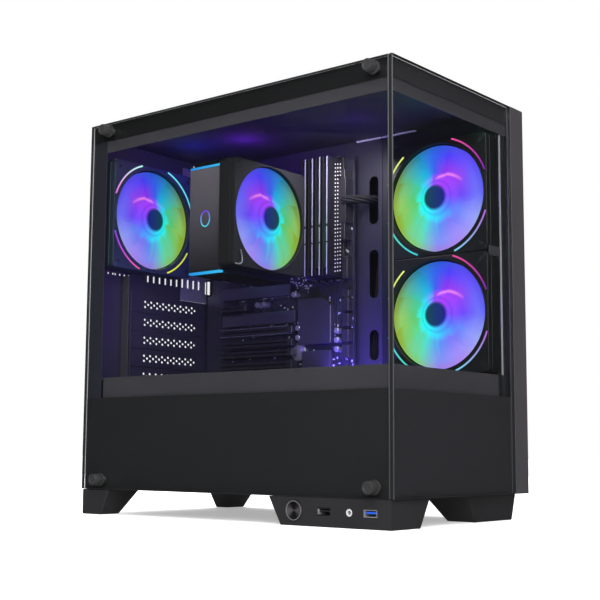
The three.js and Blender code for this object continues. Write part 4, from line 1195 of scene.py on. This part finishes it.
RIM_METAL = grained("chamfer_bright", "5c5a5d", "666467", 0.3, 0.5, 0.001)
SHELL_FINISH = {"black": grained("shell_blackened", "1c1c1e", "222224", 0.35, 0.5, 0.001),
                "blue": grained("shell_tinned", "77777a", "828285", 0.3, 0.5, 0.001)}
cap = [(0, 1.1), (6.6, 0.9), (7.2, 0.5), (8.2, 0.2), (8.9, 0.5), (9.0, 1.0), (9.0, 4.4), (3, 4.4),
       (3, 13.2), (0, 13.2)]
add_piece("power_button_cap", [turned(cap, BUTTON, "x", 64)], turned_metal(), "power_button",
          ["power_button"], smooth=35)
rim = [(8.1, -0.1), (8.9, -0.1), (8.9, 0.15), (8.1, 0.15)]
add_piece("power_button_rim", [turned(rim, BUTTON, "x", 64)], RIM_METAL, "power_button",
          smooth=35)
for colour, y, finish in (("black", 76.0, CHIP_EPOXY), ("blue", 25.5, BLUE_PLASTIC)):
    finished_copy(f"usb_port_{colour}", SHELL_FINISH[colour], (0.3, 2))
    add_piece(f"usb_{colour}_tongue", [boxes((2.4, 13.0, y - 5.6, y + 5.6, -12.7, -10.9))], finish,
              bevel=(0.3, 1))
    liner = boxes((0.4, 11.0, y + 6.0, y + 6.3, -15.0, -10.0))
    add_piece(f"usb_{colour}_shell_spring", [liner], SHELL_FINISH["blue"])
    contacts = boxes(*[(2.9, 9.0, y + k * 2.5 - 0.5, y + k * 2.5 + 0.5, -12.86, -12.72)
                       for k in (-1.5, -0.5, 0.5, 1.5)])
    add_piece(f"usb_{colour}_contacts", [contacts], GOLD)
finished_copy("audio_jack", PALE_PLASTIC, (0.4, 2))
finished_copy("front_io_board", SOLDER_MASK, (0.2, 1))

# %% [markdown]
# ## Slot retainer and the main cable
# An upright strip holds the slot covers with screws. The main cable is six sleeved strands laid
# round a seventh; its route is the CAD cable's.

# %% Retainer and cable
retainer = boxes((49.5, 50.7, 388, 398.4, 112, 232), (58.0, 59.2, 393, 397.4, 112, 216),
                 (50.75, 57.95, 396.2, 397.4, 112, 216))
add_piece("slot_retainer", [retainer], GRAY_STEEL, bevel=(0.3, 2))
head = [(0, 394.6), (1.6, 394.6), (2.9, 395.4), (3.1, 396.1), (0, 396.1)]
heads = [turned(head, (54.4, 0, z), "y", 20) for z in slot_rows]
add_piece("slot_screws", heads, NICKEL, smooth=50)
ROUTE = [(171, 184, 311), (174, 172, 311), (184, 160, 311), (200, 158, 311), (212, 159, 298),
         (213, 162, 250), (213, 172, 150), (211, 190, 80), (198, 214, 50), (176, 234, 42),
         (170, 247, 42), (170, 258.7, 42)]
STEPS, STRAND, LAY = 150, 1.6, 3.3            # along the route; radii of a strand and its lay
middle = smooth_path(ROUTE, STEPS)
ahead = np.gradient(middle, axis=0)
ahead /= np.linalg.norm(ahead, axis=1)[:, None]
first = np.cross(ahead, [0.2, 0.1, 1.0])
first /= np.linalg.norm(first, axis=1)[:, None]
second = np.cross(ahead, first)
strands = [swept(middle, STRAND)]
for k in range(6):
    turn = (np.linspace(0, 4 * pi, STEPS) + k * pi / 3)[:, None]
    strands.append(swept(middle + LAY * (np.cos(turn) * first + np.sin(turn) * second), STRAND))
add_piece("power_cable_strands", strands, SLEEVE,
          replaces=["power_cable"], smooth=60)
plug = boxes((FACE - 13.8, FACE - 0.4, 179.5, 189, 286, 336))
add_piece("power_cable_plug", [plug], ABS_SMOOTH, bevel=(0.5, 2))

# %% [markdown]
# ## Floor, light and camera
# The floor is a pale table with a little light of its own. A white background shows only to the
# camera; soft light comes from above, the front left and the rear right. Inside the case,
# coloured lamps stand in for the glow that the fans throw on the steel round them.

# %% Floor and world
floor_mesh = bpy.data.meshes.new("floor")
floor_mesh.from_pydata([(-9, -9, 0), (9, -9, 0), (9, 9, 0), (-9, 9, 0)], [], [(0, 1, 2, 3)])
floor = bpy.data.objects.new("floor", floor_mesh)
bpy.context.scene.collection.objects.link(floor)
floor_paint, tree = new_material("pale_floor")
principled(tree, {"Base Color": rgba("f2f2f3"), "Roughness": 0.9, "Specular IOR Level": 0.0,
                  "Emission Color": rgba("ffffff"), "Emission Strength": 0.4})
floor_mesh.materials.append(floor_paint)
floor.visible_glossy = False                  # keeps its glow out of the glass

world = bpy.data.worlds.new("studio")
world.use_nodes = True
tree = world.node_tree
tree.nodes.clear()
path = node(tree, "ShaderNodeLightPath")
seen = node(tree, "ShaderNodeBackground", {"Color": (1.0, 1.0, 1.0, 1.0), "Strength": 1.0})
dim = node(tree, "ShaderNodeBackground", {"Color": rgba("d8d8dc"), "Strength": 0.05})
both = node(tree, "ShaderNodeMixShader", {0: path.outputs["Is Camera Ray"],
                                          1: dim.outputs["Background"],
                                          2: seen.outputs["Background"]})
node(tree, "ShaderNodeOutputWorld", {"Surface": both.outputs["Shader"]})
bpy.context.scene.world = world
bpy.context.scene.view_settings.view_transform = "Standard"


def lamp(name, kind, at, colour, power, size, towards=None, hidden=True):
    """A lamp at a point in case millimetres; size is in metres, or radians for a sun. A hidden
    lamp doesn't show in glass and metal."""
    data = bpy.data.lights.new(name, kind)
    data.color = linear(colour)
    data.energy = power
    setattr(data, {"AREA": "size", "POINT": "shadow_soft_size", "SUN": "angle"}[kind], size)
    source = bpy.data.objects.new(name, data)
    source.location = Vector(place(at))
    if towards is not None:
        aim = Vector(place(towards)) - source.location
        source.rotation_euler = aim.to_track_quat("-Z", "Y").to_euler()
    source.visible_camera = False
    source.visible_glossy = not hidden
    bpy.context.scene.collection.objects.link(source)


lamp("overhead", "SUN", (0, 0, 2000), "ffffff", 3.0, 1.6, towards=(60, 60, 0))
lamp("front_left", "AREA", (-1100, -900, 900), "ffffff", 40.0, 1.4, (100, 150, 200), False)
lamp("rear_right", "AREA", (1300, 1500, 1000), "ffffff", 45.0, 1.4, (150, 250, 200), False)
lamp("violet_tray", "AREA", (150, 160, 140), "7058f4", 0.7, 0.1, (193, 168, 260))
lamp("violet_rear", "AREA", (60, 290, 200), "8a58f4", 0.12, 0.1, (110, 398, 170), False)
lamp("white_board", "AREA", (120, 150, 345), "e4def4", 0.22, 0.06, (184, 235, 230), False)
lamp("violet_roof", "POINT", (112, 275, 362), "8e28ff", 0.36, 0.02)
lamp("blue_roof", "POINT", (98, 338, 360), "2c30ff", 0.2, 0.02)
lamp("violet_roof_front", "POINT", (122, 130, 362), "7a20e0", 0.09, 0.02)
lamp("red_roof", "POINT", (50, 350, 366), "a01030", 0.07, 0.02)
lamp("green_corner", "POINT", (160, 14, 366), "18ff90", 0.02, 0.01)

# %% Camera
EYE = (-837.7, -577.1, 40.9)                  # case millimetres
HEADING, RISE, LEAN = 50.9, 7.25, 0.35        # degrees
camera_data = bpy.data.cameras.new("camera")
camera_data.sensor_width, camera_data.lens = 36.0, 71.08
camera_data.clip_end = 60.0
camera = bpy.data.objects.new("camera", camera_data)
camera.matrix_world = (Matrix.Translation(place(EYE)) @ Matrix.Rotation(radians(-HEADING), 4, "Z")
                       @ Matrix.Rotation(radians(90 + RISE), 4, "X")
                       @ Matrix.Rotation(radians(LEAN), 4, "Z"))
bpy.context.scene.collection.objects.link(camera)
bpy.context.scene.camera = camera
